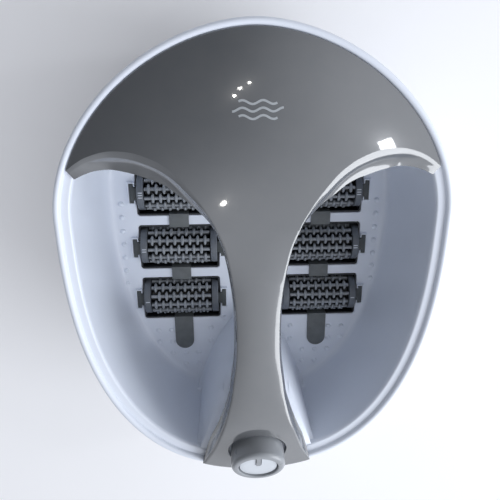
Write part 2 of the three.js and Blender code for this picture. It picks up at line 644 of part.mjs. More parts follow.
function pumpArm() {
  const { x, y, z } = PUMP
  const bar = boxBetween([x - 26.5, y - 10.5, z + 8], [x + 24, y - 5.5 + 4, z + 17])
  return cut(bar, upright(x - 22, y - 6, 3 + GAP, z, z + 30, 16))
}

const pumpDiaphragm = () =>
  rodAlongY(PUMP.x + 7, PUMP.y + 0.8, PUMP.z + 14, 8, 2, 24)

function airTee() {
  const { x, y, z } = PUMP
  const stem = rodAlongX(x + 33, y + 11, z + 15, 4.5, 15)
  const cross = rodAlongY(x + 40, y + 4, z + 15, 4.5, 30)
  return join(stem, cross)
}

function airHose(side) {
  const x = side * STRIP_X
  const rise = [[x, 88, FLOOR_Z - 22], [x, 88, FLOOR_Z - 14.5]]
  const z = PUMP.z + 15
  const teeX = PUMP.x + 40
  const route = side < 0
    ? [[teeX, PUMP.y - 11.5, z], [teeX, PUMP.y - 20, z], [-10, 89, 38], [-45, 85, 34], [-72, 86, 35]]
    : [[teeX, PUMP.y + 19.5, z], [teeX, PUMP.y + 27, z], [34, 150, 40], [64, 118, 37], [76, 93, 36]]
  return tubeThrough([...route, ...rise], 3.5, 18, 6)
}

// ---- heaters, thermostat, control board ----
function heater(side) {
  const z = FLOOR_Z - WALL - 4 - GAP
  const [near, far] = [60 * side, 84 * side]
  const arc = Array.from({ length: 5 }, (_, index) => {
    const angle = (index / 4) * Math.PI
    return [72 * side - Math.cos(angle) * 12 * side, -136 - Math.sin(angle) * 12, z]
  })
  const path = [[near, -107, z], [near, -120, z], ...arc, [far, -120, z], [far, -107, z]]
  return tubeThrough(path, 4, 16, 6)
}

const thermostat = () => join(upright(0, 40, 9, 50, FLOOR_Z - WALL - GAP),
  boxBetween([-3, 36, 46], [3, 44, 51]))

function controlBoard() {
  const board = boxBetween([-25, -134, 18 + GAP], [25, -98, 20])
  const relay = boxBetween([-18, -128, 19], [-2, -114, 32])
  const module = boxBetween([4, -124, 19], [18, -108, 27])
  return join(board, relay, module)
}

// ---- cord and plug, coiled in the bay under the base ----
function powerCord() {
  const entry = [[0, 58, CORD_Z], [0, 70, CORD_Z], [0, 77, CORD_Z], [5, 82, 15]]
  const turns = 2.8
  const coil = Array.from({ length: 27 }, (_, index) => {
    const angle = -Math.PI / 2 + 0.5 + (index / 26) * turns * Math.PI * 2
    const radius = 48 - index * 0.77
    return [Math.cos(angle) * radius, BAY.y + Math.sin(angle) * radius, 14]
  })
  const intoPlug = [[-9, 97, 14], [-1, 101, 14], [0, BAY.y - 15 - GAP, 14]]
  return tubeThrough([...entry, ...coil, ...intoPlug], 3, 72, 6)
}

function plug() {
  const body = boxBetween([-9, BAY.y - 15, 8.2], [9, BAY.y + 8, 20])
  const pins = [-1, 1].map((side) => rodAlongY(side * 5, BAY.y + 14, 14, 2, 16, 12))
  return join(body, ...pins)
}

const cordGrommet = () => {
  const profile = [[3.8, -6], [7, -6], [7, -3.4], [5, -3.4], [5, 3], [3.8, 3], [3.8, -6]]
  return turned(profile, 12).rotate([90, 0, 0]).translate(0, BAY.y - BAY.radius - 2.6, CORD_Z)
}

// ---- assembly ----
const group = new THREE.Group()
const bodies = {}

function bodyGroup(name) {
  if (!bodies[name]) {
    bodies[name] = new THREE.Group()
    group.add(bodies[name])
  }
  return bodies[name]
}

function add(body, name, solid, look) {
  const mesh = new THREE.Mesh(toGeometry(solid), look)
  mesh.name = name
  bodyGroup(body).add(mesh)
}

add('tub', 'basin', basin(), WHITE())
add('tub', 'outer_casing', outerCasing(), WHITE())
add('tub', 'base_plate', basePlate(), WHITE())
FEET.forEach(([x, y], index) => add('tub', `foot_pad_${index + 1}`, footPad(x, y), RUBBER()))
BOSSES.forEach(([x, y], index) =>
  add('tub', `base_screw_${index + 1}`, screwUp(x, y, PLATE_Z - GAP, 14), STEEL()))

for (const [side, label] of [[-1, 'left'], [1, 'right']]) {
  add('tub', `air_strip_${label}`, airStrip(side), STRIP_GREY())
  add('tub', `air_hose_${label}`, airHose(side), RUBBER())
  add('tub', `heater_${label}`, heater(side), STEEL())
  ROW_Y.forEach((y, index) => {
    const row = ['rear', 'middle', 'front'][index]
    const centre = [side * ROLLER_X, y, AXLE_Z]
    const pin = rodAlongX(0, 0, 0, AXLE_RADIUS, POCKET_X - 1.2, 10)
    add('tub', `cradle_${row}_${label}`, cradle(side).translate(centre), ROLLER_GREY())
    add('tub', `axle_${row}_${label}`, pin.translate(centre), STEEL())
    add(`roller_${row}_${label}`, `barrel_${row}_${label}`, barrel().translate(centre), ROLLER_GREY())
  })
}

add('tub', 'rotary_switch', rotarySwitch(), DARK())
add('tub', 'shaft_seal', washer(4.8, 9, -SEAT_DEPTH + GAP, -SEAT_DEPTH + 1.5, 24), RUBBER())
add('tub', 'switch_nut', switchNut(), BRASS())
add('tub', 'motor_can', motorCan(), STEEL())
add('tub', 'motor_clamp', motorClamp(), STEEL())
add('tub', 'clamp_screw_left', screwDown(-CLAMP_X, MOTOR.y, MOTOR.z + 1.9, 10, 1.5), STEEL())
add('tub', 'clamp_screw_right', screwDown(CLAMP_X, MOTOR.y, MOTOR.z + 1.9, 10, 1.5), STEEL())
add('tub', 'pump_body', pumpBody(), DARK())
add('tub', 'pump_diaphragm', pumpDiaphragm(), RUBBER())
add('tub', 'air_tee', airTee(), DARK())
add('tub', 'thermostat', thermostat(), DARK())
add('tub', 'control_board', controlBoard(), BOARD())
add('tub', 'cord_grommet', cordGrommet(), RUBBER())
add('tub', 'power_cord', powerCord(), RUBBER())
add('tub', 'plug', plug(), RUBBER())

add('cover', 'splash_cover', splashCover(), COVER_GREY())
add('knob', 'knob_body', knobBody(), COVER_GREY())
add('knob', 'knob_face', knobFace(), WHITE())
add('knob', 'switch_shaft', switchShaft(), STEEL())
add('rotor', 'motor_shaft', motorShaft(), STEEL())
add('rotor', 'eccentric_weight_front', eccentricWeight(-1), BRASS())
add('rotor', 'eccentric_weight_back', eccentricWeight(1), BRASS())
add('pump_arm', 'pump_arm', pumpArm(), STEEL())

export default group
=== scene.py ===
"""Blender looks for the pedicure foot bath: fine meshes, procedural materials, light and camera."""
import json
import math

import bmesh
import bpy
import numpy as np
from mathutils import Matrix, Vector


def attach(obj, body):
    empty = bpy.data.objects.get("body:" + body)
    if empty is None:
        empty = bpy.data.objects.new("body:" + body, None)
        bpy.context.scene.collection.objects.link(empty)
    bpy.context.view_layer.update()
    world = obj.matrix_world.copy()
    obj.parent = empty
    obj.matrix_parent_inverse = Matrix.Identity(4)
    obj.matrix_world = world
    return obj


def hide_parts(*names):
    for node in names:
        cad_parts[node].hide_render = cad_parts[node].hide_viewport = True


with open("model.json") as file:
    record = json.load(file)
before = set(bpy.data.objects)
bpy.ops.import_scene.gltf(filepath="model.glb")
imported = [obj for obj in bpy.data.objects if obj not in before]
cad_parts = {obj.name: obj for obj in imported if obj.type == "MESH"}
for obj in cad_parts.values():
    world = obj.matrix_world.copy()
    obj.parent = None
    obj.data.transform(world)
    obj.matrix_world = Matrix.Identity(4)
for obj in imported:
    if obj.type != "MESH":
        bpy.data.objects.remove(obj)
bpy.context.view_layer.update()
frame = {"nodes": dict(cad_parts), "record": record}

# Sizes are in millimetres: X to the right, Y towards the toes, Z up, the knob at the front (-Y).
MM = 0.001
HALF_WIDTH, BACK_REACH, FRONT_REACH, WIDEST_Y = 175.0, 162.0, 268.0, 53.0
BACK_POWER, FRONT_POWER = 1.84, 2.45
RIM_Z, FLOOR_Z, LEDGE_Z, WALL = 175.0, 63.0, 171.2, 3.0
ROWS = {"rear": 49.0, "middle": -12.0, "front": -73.0}
SIDES = {"left": -1, "right": 1}
ROLLER_X, AXLE_Z, BARREL_R, BARREL_LEN = 77.5, 53.0, 22.0, 67.0
POCKET = (86.0, 50.0, 27.0)  # X size, Y size, floor height
STRIP_X, STRIP_W, STRIP_T = 76.5, 21.0, 1.5
STRIP_BACK_Y, STRIP_TIP_Y, SPIGOT_Y = 98, -137, 88
BRACKET_X = 51.2
POSTS = ((-85, 100), (85, 100), (-98, -110), (98, -110))
FEET = ((-95, 122), (95, 122), (-80, -138), (80, -138))
TILT = math.radians(25)
KNOB_Y = -180.0
GAP = 0.3  # clearance between parts
COVER_INSET, COVER_WALL, DOME_RISE = 7.0, 2.5, 35.0
COVER_EDGE_Z = LEDGE_Z + GAP + COVER_WALL
NOSE_FRONT_Y = WIDEST_Y - FRONT_REACH
NOSE_EDGE_Z = RIM_Z + GAP + COVER_WALL
KNOB_Z = NOSE_EDGE_Z + math.tan(TILT) * (KNOB_Y - NOSE_FRONT_Y)
ROOF_DEPTH, SEAT_DEPTH, SEAT_HALF = 10.5, 16.0, 16.0
HUB = (0.0, 20.0)  # centre of the polar rings
RING = 360  # rays of one ring
AXLE_TURN = Matrix.Rotation(math.pi / 2, 4, "Y")


# ---- mesh helpers
def add_object(name, data):
    obj = bpy.data.objects.new(name, data)
    bpy.context.scene.collection.objects.link(obj)
    return obj


def new_piece(name, verts_mm, faces, look, smooth=35.0):
    mesh = bpy.data.meshes.new(name)
    mesh.from_pydata([tuple(v) for v in np.asarray(verts_mm, float) * MM], [], faces)
    mesh.validate()
    obj = add_object(name, mesh)
    outward(obj)
    finish_mesh(obj, look, smooth)
    return obj


def outward(obj):
    bm = bmesh.new()
    bm.from_mesh(obj.data)
    bmesh.ops.recalc_face_normals(bm, faces=bm.faces)
    bm.to_mesh(obj.data)
    bm.free()


def finish_mesh(obj, look, smooth):
    if look is not None:
        obj.data.materials.clear()
        obj.data.materials.append(look)
    for polygon in obj.data.polygons:
        polygon.use_smooth = True
    obj.data.set_sharp_from_angle(angle=math.radians(smooth))


def place(obj, body, slot, *nodes):
    """Ties a piece to its body and hides the CAD nodes that it stands for; the slot for its finish
    is not used.
    """
    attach(obj, body)
    if nodes:
        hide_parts(*nodes)


def apply_modifiers(obj):
    graph = bpy.context.evaluated_depsgraph_get()
    mesh = bpy.data.meshes.new_from_object(obj.evaluated_get(graph))
    obj.modifiers.clear()
    obj.data = mesh


def boolean(obj, shape, operation):
    """Joins a shape of verts and faces to a piece, or cuts it out."""
    tool = new_piece("tool", *shape, None)
    modifier = obj.modifiers.new("cut", "BOOLEAN")
    modifier.operation = operation
    modifier.solver = "EXACT"
    modifier.object = tool
    apply_modifiers(obj)
    bpy.data.objects.remove(tool)


def bevel(obj, width_mm, segments=2, angle=40.0):
    modifier = obj.modifiers.new("edge", "BEVEL")
    modifier.width = width_mm * MM
    modifier.segments = segments
    modifier.limit_method = "ANGLE"
    modifier.angle_limit = math.radians(angle)
    apply_modifiers(obj)


def weigh_normals(obj):
    modifier = obj.modifiers.new("normals", "WEIGHTED_NORMAL")
    modifier.keep_sharp = True
    modifier.weight = 60


def loft(rings, closed=False):
    """Verts and faces through equal rings; ends capped, or joined when closed."""
    count = len(rings[0])
    verts = [tuple(point) for ring in rings for point in ring]
    faces = []
    bands = len(rings) if closed else len(rings) - 1
    for band in range(bands):
        low, high = band * count, ((band + 1) % len(rings)) * count
        for i in range(count):
            j = (i + 1) % count
            faces.append((low + i, low + j, high + j, high + i))
    if not closed:
        faces.append(tuple(range(count))[::-1])
        top = (len(rings) - 1) * count
        faces.append(tuple(top + i for i in range(count)))
    return verts, faces


def prism(outline, low, high):
    """A straight block that stands on a plan outline."""
    return loft([[(x, y, z) for x, y in outline] for z in (low, high)])


def lathe(profile, sides=96):
    """Rings of a [radius, z] profile turned about Z; ends on the axis become single points."""
    verts, faces, rows = [], [], []
    for radius, z in profile:
        if radius < 1e-6:
            rows.append([len(verts)])
            verts.append((0.0, 0.0, z))
            continue
        start = len(verts)
        for i in range(sides):
            angle = 2 * math.pi * i / sides
            verts.append((radius * math.cos(angle), radius * math.sin(angle), z))
        rows.append(list(range(start, start + sides)))
    for low, high in zip(rows, rows[1:]):
        for i in range(sides):
            j = (i + 1) % sides
            if len(low) == 1 and len(high) > 1:
                faces.append((low[0], high[j], high[i]))
            elif len(high) == 1 and len(low) > 1:
                faces.append((low[i], low[j], high[0]))
            elif len(low) > 1:
                faces.append((low[i], low[j], high[j], high[i]))
    return verts, faces


def rounded(points, radius, steps=4):
    """A polyline whose inner corners are rounded with small arcs."""
    out = [tuple(points[0])]
    for before, corner, after in zip(points, points[1:], points[2:]):
        c = np.array(corner, float)
        into, away = np.array(before, float) - c, np.array(after, float) - c
        reach = min(radius, np.linalg.norm(into) / 2.1, np.linalg.norm(away) / 2.1)
        a = c + into / max(np.linalg.norm(into), 1e-9) * reach
        b = c + away / max(np.linalg.norm(away), 1e-9) * reach
        for k in range(steps + 1):
            t = k / steps
            out.append(tuple((1 - t) ** 2 * a + 2 * t * (1 - t) * c + t * t * b))
    out.append(tuple(points[-1]))
    return out


def box_mesh(low, high):
    (x0, y0, z0), (x1, y1, z1) = low, high
    verts = [(x, y, z) for z in (z0, z1) for y in (y0, y1) for x in (x0, x1)]
    faces = [(0, 2, 3, 1), (4, 5, 7, 6), (0, 1, 5, 4), (2, 6, 7, 3), (0, 4, 6, 2), (1, 3, 7, 5)]
    return verts, faces


def merged(*shapes):
    verts, faces = [], []
    for shape_verts, shape_faces in shapes:
        start = len(verts)
        verts.extend(tuple(v) for v in shape_verts)
        faces.extend(tuple(start + i for i in face) for face in shape_faces)
    return verts, faces


def moved(shape, offset=(0, 0, 0), turn=None):
    verts = np.array(shape[0], float)
    if turn is not None:
        verts = verts @ np.array(turn.to_3x3()).T
    return (verts + np.array(offset, float)).tolist(), shape[1]


def rounded_rect(x, y, half_x, half_y, radius, steps=6):
    points = []
    for cx, cy, start in ((1, 1, 0), (-1, 1, 90), (-1, -1, 180), (1, -1, 270)):
        for k in range(steps + 1):
            angle = math.radians(start + 90 * k / steps)
            points.append((x + cx * (half_x - radius) + radius * math.cos(angle),
                           y + cy * (half_y - radius) + radius * math.sin(angle)))
    return points


def in_knob_frame(shape):
    return moved(shape, (0, KNOB_Y, KNOB_Z), Matrix.Rotation(TILT, 4, "X"))


def smooth_path(points, per_span):
    """Catmull-Rom through rows of numbers."""
    p = np.array(points, float)
    padded = np.vstack([2 * p[0] - p[1], p, 2 * p[-1] - p[-2]])
    out = []
    for i in range(len(p) - 1):
        a, b, c, d = padded[i:i + 4]
        for k in range(per_span):
            t = k / per_span
            out.append(0.5 * (2 * b + (c - a) * t + (2 * a - 5 * b + 4 * c - d) * t ** 2
                              + (3 * b - a - 3 * c + d) * t ** 3))
    out.append(p[-1])
    return np.array(out)


def smoothstep(x):
    t = np.clip(x, 0.0, 1.0)
    return t * t * (3 - 2 * t)


# ---- materials
MIX_FACTOR, MIX_A, MIX_B, MIX_RESULT = 0, 6, 7, 2  # sockets of a Mix node set to colours


def add_node(tree, kind, **inputs):
    """A new node with some sockets set; an underscore in a name stands for a space."""
    made = tree.nodes.new(kind)
    set_inputs(made, **inputs)
    return made


def set_inputs(node, **inputs):
    for name, value in inputs.items():
        node.inputs[name.replace("_", " ")].default_value = value


class Look:
    """Builds one Principled material with procedural detail."""

    def __init__(self, name, color, roughness, metallic=0.0, coat=0.0):
        self.material = bpy.data.materials.new(name)
        self.material.use_nodes = True
        self.tree = self.material.node_tree
        self.link = self.tree.links.new
        self.shader = self.tree.nodes["Principled BSDF"]
        self.base = (*color, 1.0)
        set_inputs(self.shader, Base_Color=self.base, Roughness=roughness, Metallic=metallic,
                   Coat_Weight=coat, Coat_Roughness=0.06)
        self.coords = self.node("ShaderNodeTexCoord").outputs["Object"]

    def node(self, kind, **inputs):
        return add_node(self.tree, kind, **inputs)

    def noise(self, scale, detail=3.0, stretch=(1, 1, 1)):
        mapping = self.node("ShaderNodeMapping", Scale=stretch)
        noise = self.node("ShaderNodeTexNoise", Scale=scale, Detail=detail)
        self.link(self.coords, mapping.inputs["Vector"])
        self.link(mapping.outputs[0], noise.inputs["Vector"])
        return noise.outputs["Fac"]

    def spread(self, value, low, high):
        """The middle of a noise, stretched over low to high."""
        span = self.node("ShaderNodeMapRange", From_Min=0.3, From_Max=0.7, To_Min=low,
                         To_Max=high)
        self.link(value, span.inputs["Value"])
        return span.outputs["Result"]

    def tint(self, scale, other, detail=3.0):
        """Mixes towards another colour in soft patches."""
        mix = self.node("ShaderNodeMix")
        mix.data_type = "RGBA"
        mix.inputs[MIX_A].default_value = self.base
        mix.inputs[MIX_B].default_value = (*other, 1.0)
        patches = self.spread(self.noise(scale, detail), 0.0, 1.0)
        self.link(patches, mix.inputs[MIX_FACTOR])
        self.link(mix.outputs[MIX_RESULT], self.shader.inputs["Base Color"])
        return self

    def vary_roughness(self, scale, low, high, stretch=(1, 1, 1)):
        value = self.spread(self.noise(scale, 4.0, stretch), low, high)
        self.link(value, self.shader.inputs["Roughness"])
        return self

    def bump(self, scale, strength, distance=0.0001, detail=2.0, stretch=(1, 1, 1)):
        made = self.node("ShaderNodeBump", Strength=strength, Distance=distance)
        self.link(self.noise(scale, detail, stretch), made.inputs["Height"])
        self.link(made.outputs["Normal"], self.shader.inputs["Normal"])
        return self


# Each row: colour, roughness, then what tint, vary_roughness and bump take, metallic and coat.
PLAIN_LOOKS = {
    "basin_white": ((0.80, 0.845, 0.93), 0.36, (30.0, (0.785, 0.83, 0.92)),
        (240.0, 0.33, 0.39), (900.0, 0.06), 0.0, 0.12),
    "casing_white": ((0.66, 0.69, 0.75), 0.36, (30.0, (0.645, 0.675, 0.735)),
        (240.0, 0.33, 0.40), (1100.0, 0.08), 0.0, 0.12),
    "knob_white": ((0.66, 0.695, 0.74), 0.34, (60.0, (0.64, 0.675, 0.72)),
        (200.0, 0.31, 0.37), (1200.0, 0.05), 0.0, 0.12),
    "knob_grey": ((0.30, 0.315, 0.335), 0.30, (40.0, (0.27, 0.285, 0.305)),
        (90.0, 0.26, 0.38), (1500.0, 0.10), 0.0, 0.3),
    "roller_grey": ((0.150, 0.165, 0.188), 0.42, (60.0, (0.115, 0.128, 0.148)),
        (160.0, 0.36, 0.52), (1400.0, 0.18)),
    "dark_plastic": ((0.012, 0.014, 0.018), 0.5, (70.0, (0.02, 0.022, 0.026)),
        (120.0, 0.42, 0.6), (1200.0, 0.15)),
    "strip_grey": ((0.150, 0.163, 0.168), 0.5, (110.0, (0.120, 0.131, 0.135)),
        (160.0, 0.44, 0.6), (1300.0, 0.35, 0.00012, 4.0)),
    # The tabs' look is the strip grey darkened: painted shade on the low tabs of the roller frames.
    "tab_grey_painted_shade": ((0.085, 0.095, 0.098), 0.5, (110.0, (0.065, 0.074, 0.077)),
        (160.0, 0.44, 0.6), (1300.0, 0.3, 0.00012, 4.0)),
    "rubber": ((0.02, 0.02, 0.022), 0.75, (120.0, (0.032, 0.032, 0.034)),
        (200.0, 0.68, 0.85), (1600.0, 0.3)),
    "steel": ((0.62, 0.63, 0.65), 0.28, (90.0, (0.52, 0.53, 0.55)),
        (300.0, 0.2, 0.42, (1, 12, 1)), (700.0, 0.1, 0.0001, 2.0, (1, 14, 1)), 1.0),
    "brass": ((0.62, 0.44, 0.17), 0.3, (80.0, (0.5, 0.35, 0.13)),
        (220.0, 0.22, 0.42), (900.0, 0.08), 1.0),
    "board_green": ((0.02, 0.13, 0.055), 0.4, (300.0, (0.03, 0.18, 0.07), 0.0),
        (200.0, 0.34, 0.5), (600.0, 0.2), 0.0, 0.3),
    "icon_ink": ((0.46, 0.485, 0.51), 0.3, (300.0, (0.42, 0.445, 0.47)),
        (200.0, 0.26, 0.38), (1500.0, 0.06)),
}


def plain_look(name, color, roughness, patches, gloss, grain, metallic=0.0, coat=0.0):
    look = Look(f"{name}_look", color, roughness, metallic, coat)
    return look.tint(*patches).vary_roughness(*gloss).bump(*grain).material


def cover_plastic():
    look = Look("cover_grey_look", (0.135, 0.141, 0.149), 0.24, coat=1.0)
    set_inputs(look.shader, Coat_Roughness=0.045, Coat_IOR=1.8)
    look.tint(60.0, (0.127, 0.134, 0.143)).vary_roughness(200.0, 0.19, 0.26)
    return look.bump(850.0, 0.04).material


def fin_plastic_with_painted_shade():
    """Roller plastic with painted shade that turns near black towards the deep gaps between the
    fins.
    """
    look = Look("fin_painted_gap_shade_look", (0.29, 0.31, 0.335), 0.36)
    look.vary_roughness(160.0, 0.30, 0.45).bump(1400.0, 0.18)
    height = look.node("ShaderNodeAttribute")
    height.attribute_name = "height"
    ramp = look.node("ShaderNodeValToRGB")
    stops = ramp.color_ramp.elements
    # Painted shade: near black low on the fins and at the core, the plain colour near the fin tops.
    stops[0].position, stops[0].color = 0.35, (0.012, 0.014, 0.018, 1)
    stops[1].position, stops[1].color = 0.80, look.base
    look.link(height.outputs["Fac"], ramp.inputs["Fac"])
    shade = look.node("ShaderNodeMix")
    shade.data_type, shade.blend_type = "RGBA", "MULTIPLY"
    shade.inputs[MIX_FACTOR].default_value = 1.0
    look.link(ramp.outputs["Color"], shade.inputs[MIX_A])
    spots = look.spread(look.noise(60.0), 0.85, 1.1)
    look.link(spots, shade.inputs[MIX_B])
    look.link(shade.outputs[MIX_RESULT], look.shader.inputs["Base Color"])
    return look.material


LOOKS = {name: plain_look(name, *row) for name, row in PLAIN_LOOKS.items()}
LOOKS |= {"cover_grey": cover_plastic(), "roller_fins": fin_plastic_with_painted_shade(), "cord_grey": LOOKS["rubber"]}


# ---- outline maths
def egg(side, front, back, count=2880):
    """The plan outline, inset at the side, the front and the back."""
    angle = np.linspace(0, 2 * np.pi, count, endpoint=False)
    c, s = np.cos(angle), np.sin(angle)
    power = np.where(s < 0, 2 / FRONT_POWER, 2 / BACK_POWER)
    reach = np.where(s < 0, FRONT_REACH - front, BACK_REACH - back)
    x = np.sign(c) * np.abs(c) ** power * (HALF_WIDTH - side)
    y = WIDEST_Y + np.sign(s) * np.abs(s) ** power * reach
    return x, y


THETA = np.linspace(-math.pi, math.pi, RING, endpoint=False)


def wall_radius(side, front, back):
    x, y = egg(side, front, back)
    angle = np.arctan2(y - HUB[1], x - HUB[0])
    radius = np.hypot(x - HUB[0], y - HUB[1])
    order = np.argsort(angle)
    return np.interp(THETA, angle[order], radius[order], period=2 * math.pi)


# The hump between the wells at the front: rows of (height, half width, reach back from HUMP_Y).
HUMP_Y, HUMP_POWER = -205.0, 1.5
HUMP_ROWS = [(63, 64, 122), (165, 55.5, 125), (184, 48, 100), (190, 44, 88)]
WIDEST_HUMP_ANGLE = 0.6  # rays further than this from straight ahead miss the hump


def hump_radius(z):
    """Distance from the hub to the hump's flank on each ray; very far where a ray misses it."""
    zs = [row[0] for row in HUMP_ROWS]
    z = np.broadcast_to(z, THETA.shape)
    half = np.interp(z, zs, [row[1] for row in HUMP_ROWS])
    back = np.interp(z, zs, [row[2] for row in HUMP_ROWS])
    out = np.full(RING, 1e4)
    turn = np.linspace(0, math.pi / 2, 400)
    more = np.linspace(0.5, 60, 40)
    for i, theta in enumerate(THETA):
        phi = abs(math.atan2(math.cos(theta), -math.sin(theta)))
        if phi > WIDEST_HUMP_ANGLE:
            continue
        x = half[i] * np.sin(turn) ** (2 / HUMP_POWER)
        y = HUMP_Y + back[i] * np.cos(turn) ** (2 / HUMP_POWER)
        x = np.append(x, half[i] + 0.3 * more)
        y = np.append(y, HUMP_Y - more)
        angle = np.arctan2(x - HUB[0], HUB[1] - y)
        out[i] = np.interp(phi, angle, np.hypot(x, y - HUB[1]))
    return out


def soft_min(a, b, k):
    """The smaller of two radii, with a round of size k where they meet."""
    h = np.clip(0.5 + 0.5 * (b - a) / k, 0, 1)
    return b * (1 - h) + a * h - k * h * (1 - h)


def ring_points(radius, z):
    z = np.broadcast_to(z, THETA.shape)
    x = HUB[0] + radius * np.cos(THETA)
    y = HUB[1] + radius * np.sin(THETA)
    return np.stack([x, y, z], 1)


def seat_plane(y):
    """Height of the hump's roof: flat at the back and sloped under the knob."""
    return np.minimum(HUMP_ROWS[-1][0],
                      KNOB_Z - ROOF_DEPTH / math.cos(TILT) + math.tan(TILT) * (y - KNOB_Y))


# ---- basin
# Rows of (height, inset at the side, front and back) up a wall; then (height, inset) over the rim.
WALL_ROWS = [(63, 32, 26, 42), (64.5, 28, 22.5, 36), (70, 25, 20, 32), (85, 22.5, 18.5, 27),
             (115, 19.5, 17, 22), (150, 17, 15.8, 17), (168, 15, 15, 15)]
RIM_ROWS = [(170.4, 14.0), (171.0, 13.3), (171.2, 12.5), (171.25, 7.3), (171.5, 6.75),
            (172.2, 6.45), (173.3, 6.15), (174.2, 5.5), (174.8, 4.5), (175.0, 3.3), (174.8, 2.1),
            (174.2, 1.15), (173.2, 0.45), (171.8, 0.1), (169.5, 0.0), (165, 0.0), (160, 0.35),
            (158.4, 0.65), (158.0, 1.1), (158.0, 2.4), (158.5, 2.8), (166, 3.5), (168.0, 3.8),
            (168.2, 4.4), (168.2, 9.5)]
ROW_REACH = 5.0  # most that a row of the wall steps out past the row below
FILLET = 13.0  # round between the wall of a well and the hump
WALL_TOP_Z = float(WALL_ROWS[-1][0])
FLANK_TOP_Z = 180.0
RISE_RUN = 26.0  # run over which the wall top rises to the roof of the hump
RISE_LEVELS = range(168, 189, 4)  # heights at which that run is measured
LEDGE_STEPS = (0.12, 0.3, 0.5, 0.7, 0.86, 0.96)


def basin_surface():
    """Rings up the walls, then across the ledge or the roof of the hump."""
    rows = smooth_path(WALL_ROWS, 7)
    share = (rows[:, 0] - rows[0, 0]) / (rows[-1, 0] - rows[0, 0])
    top_wall = wall_radius(*WALL_ROWS[-1][1:])
    weight = sum(smoothstep((top_wall - hump_radius(z)) / RISE_RUN)
                 for z in RISE_LEVELS) / len(RISE_LEVELS)
    flank_y = HUB[1] + np.minimum(hump_radius(FLANK_TOP_Z), top_wall) * np.sin(THETA)
    top_z = WALL_TOP_Z + weight * (seat_plane(flank_y) - WALL_TOP_Z)
    walls = []
    for (_, side, front, back), s in zip(rows, share):
        level = rows[0, 0] + s * (top_z - rows[0, 0])
        radius = soft_min(wall_radius(side, front, back), hump_radius(level), FILLET)
        if walls:
            radius = np.minimum(radius, walls[-1][0] + ROW_REACH)
        roof = seat_plane(HUB[1] + radius * np.sin(THETA))
        level = np.minimum(level, WALL_TOP_Z + weight * (roof - WALL_TOP_Z))
        walls.append((radius, level))
    ledge_z, inset = RIM_ROWS[0]
    ledge = wall_radius(inset, inset, inset)
    across = []
    for t in LEDGE_STEPS:
        radius = walls[-1][0] * (1 - t) + ledge * t
        y = HUB[1] + radius * np.sin(THETA)
        flat = WALL_TOP_Z + (ledge_z - WALL_TOP_Z) * t
        across.append((radius, flat + weight * (seat_plane(y) - flat)))
    return walls, across


def basin_shell():
    """Rings over the floor, walls, ledge and rim, and back underneath."""
    walls, across = basin_surface()
    floor_shares = (0.9, 0.985)
    rings = [ring_points(walls[0][0] * t, FLOOR_Z) for t in floor_shares]
    rings += [ring_points(radius, z) for radius, z in walls + across]
    rings += [ring_points(wall_radius(i, i, i), z) for z, i in RIM_ROWS]
    under = [(radius + WALL, z - WALL) for radius, z in walls + across]
    rings += [ring_points(radius, z) for radius, z in reversed(under)]
    rings += [ring_points(walls[0][0] * t, FLOOR_Z - WALL) for t in floor_shares[::-1]]
    return loft(rings)


def pocket_shape(x, y, grow, low, flare):
    """A roller pocket; with flare, its mouth widens softly into the floor."""
    half_x, half_y = POCKET[0] / 2 + grow, POCKET[1] / 2 + grow
    rows = [(low, 0.0)]
    if flare:
        rows += [(FLOOR_Z - 1.2, 0.0), (FLOOR_Z - 0.45, 0.25), (FLOOR_Z - 0.1, 0.7),
                 (FLOOR_Z + 0.2, 1.4), (FLOOR_Z + 2, 1.6)]
    else:
        rows += [(FLOOR_Z - 1.5, 0.0)]
    radius = 3.0 + grow
    rings = [[(px, py, z) for px, py in
              rounded_rect(x, y, half_x + out, half_y + out, radius + out)] for z, out in rows]
    return loft(rings)


def floor_pockets():
    return [(side * ROLLER_X, y) for side in SIDES.values() for y in ROWS.values()]


def seat_block():
    half = SEAT_HALF + WALL
    return in_knob_frame(box_mesh((-half, -half, -SEAT_DEPTH - WALL),
                                  (half, half, -ROOF_DEPTH - 0.6)))


def tube(inner, outer_low, outer_high, low, high):
    return lathe([(inner, low), (outer_low, low), (outer_high, high), (inner, high),
                  (inner, low)], 24)


def basin_posts():
    """Screw posts and air spigots under the floor of the wells."""
    high = FLOOR_Z - 2
    posts = [moved(tube(2.3, 4.5, 5.2, 11.1, high), (x, y, 0)) for x, y in POSTS]
    spigot = tube(3, 5, 5, FLOOR_Z - 14, high)
    return posts + [moved(spigot, (side * STRIP_X, SPIGOT_Y, 0)) for side in SIDES.values()]


def build_basin():
    look = LOOKS["basin_white"]
    basin = new_piece("basin_shell", *basin_shell(), look)
    boxes = [pocket_shape(x, y, WALL, POCKET[2] - WALL, False) for x, y in floor_pockets()]
    wells = [pocket_shape(x, y, 0.0, POCKET[2], True) for x, y in floor_pockets()]
    seat = in_knob_frame(prism(rounded_rect(0, 0, SEAT_HALF, SEAT_HALF, 3), -SEAT_DEPTH, 20))
    hole = in_knob_frame(lathe([(0, -40), (4.8, -40), (4.8, 8), (0, 8)], 32))
    for shape, operation in ((merged(*boxes), "UNION"), (seat_block(), "UNION"),
                             (merged(*wells, seat), "DIFFERENCE"),
                             (hole, "DIFFERENCE"), (merged(*basin_posts()), "UNION")):
        boolean(basin, shape, operation)
    finish_mesh(basin, look, 38)
    weigh_normals(basin)
    place(basin, "tub", "basin_white", "basin")


def nub_centres():
    """Studs of the right-hand well: a column beside the rollers, a patch at the heel."""
    column_x, first_y, pitch, count = 137, 37.2, 15.2, 7
    column = [(column_x, first_y - pitch * k) for k in range(count)]
    front = [(106, -114), (106, -129), (91, -114), (91, -129), (91, -144), (76, -144), (61, -144),
             (76, -159), (61, -159), (46, -112), (46, -129), (31, -99)]
    return column + front


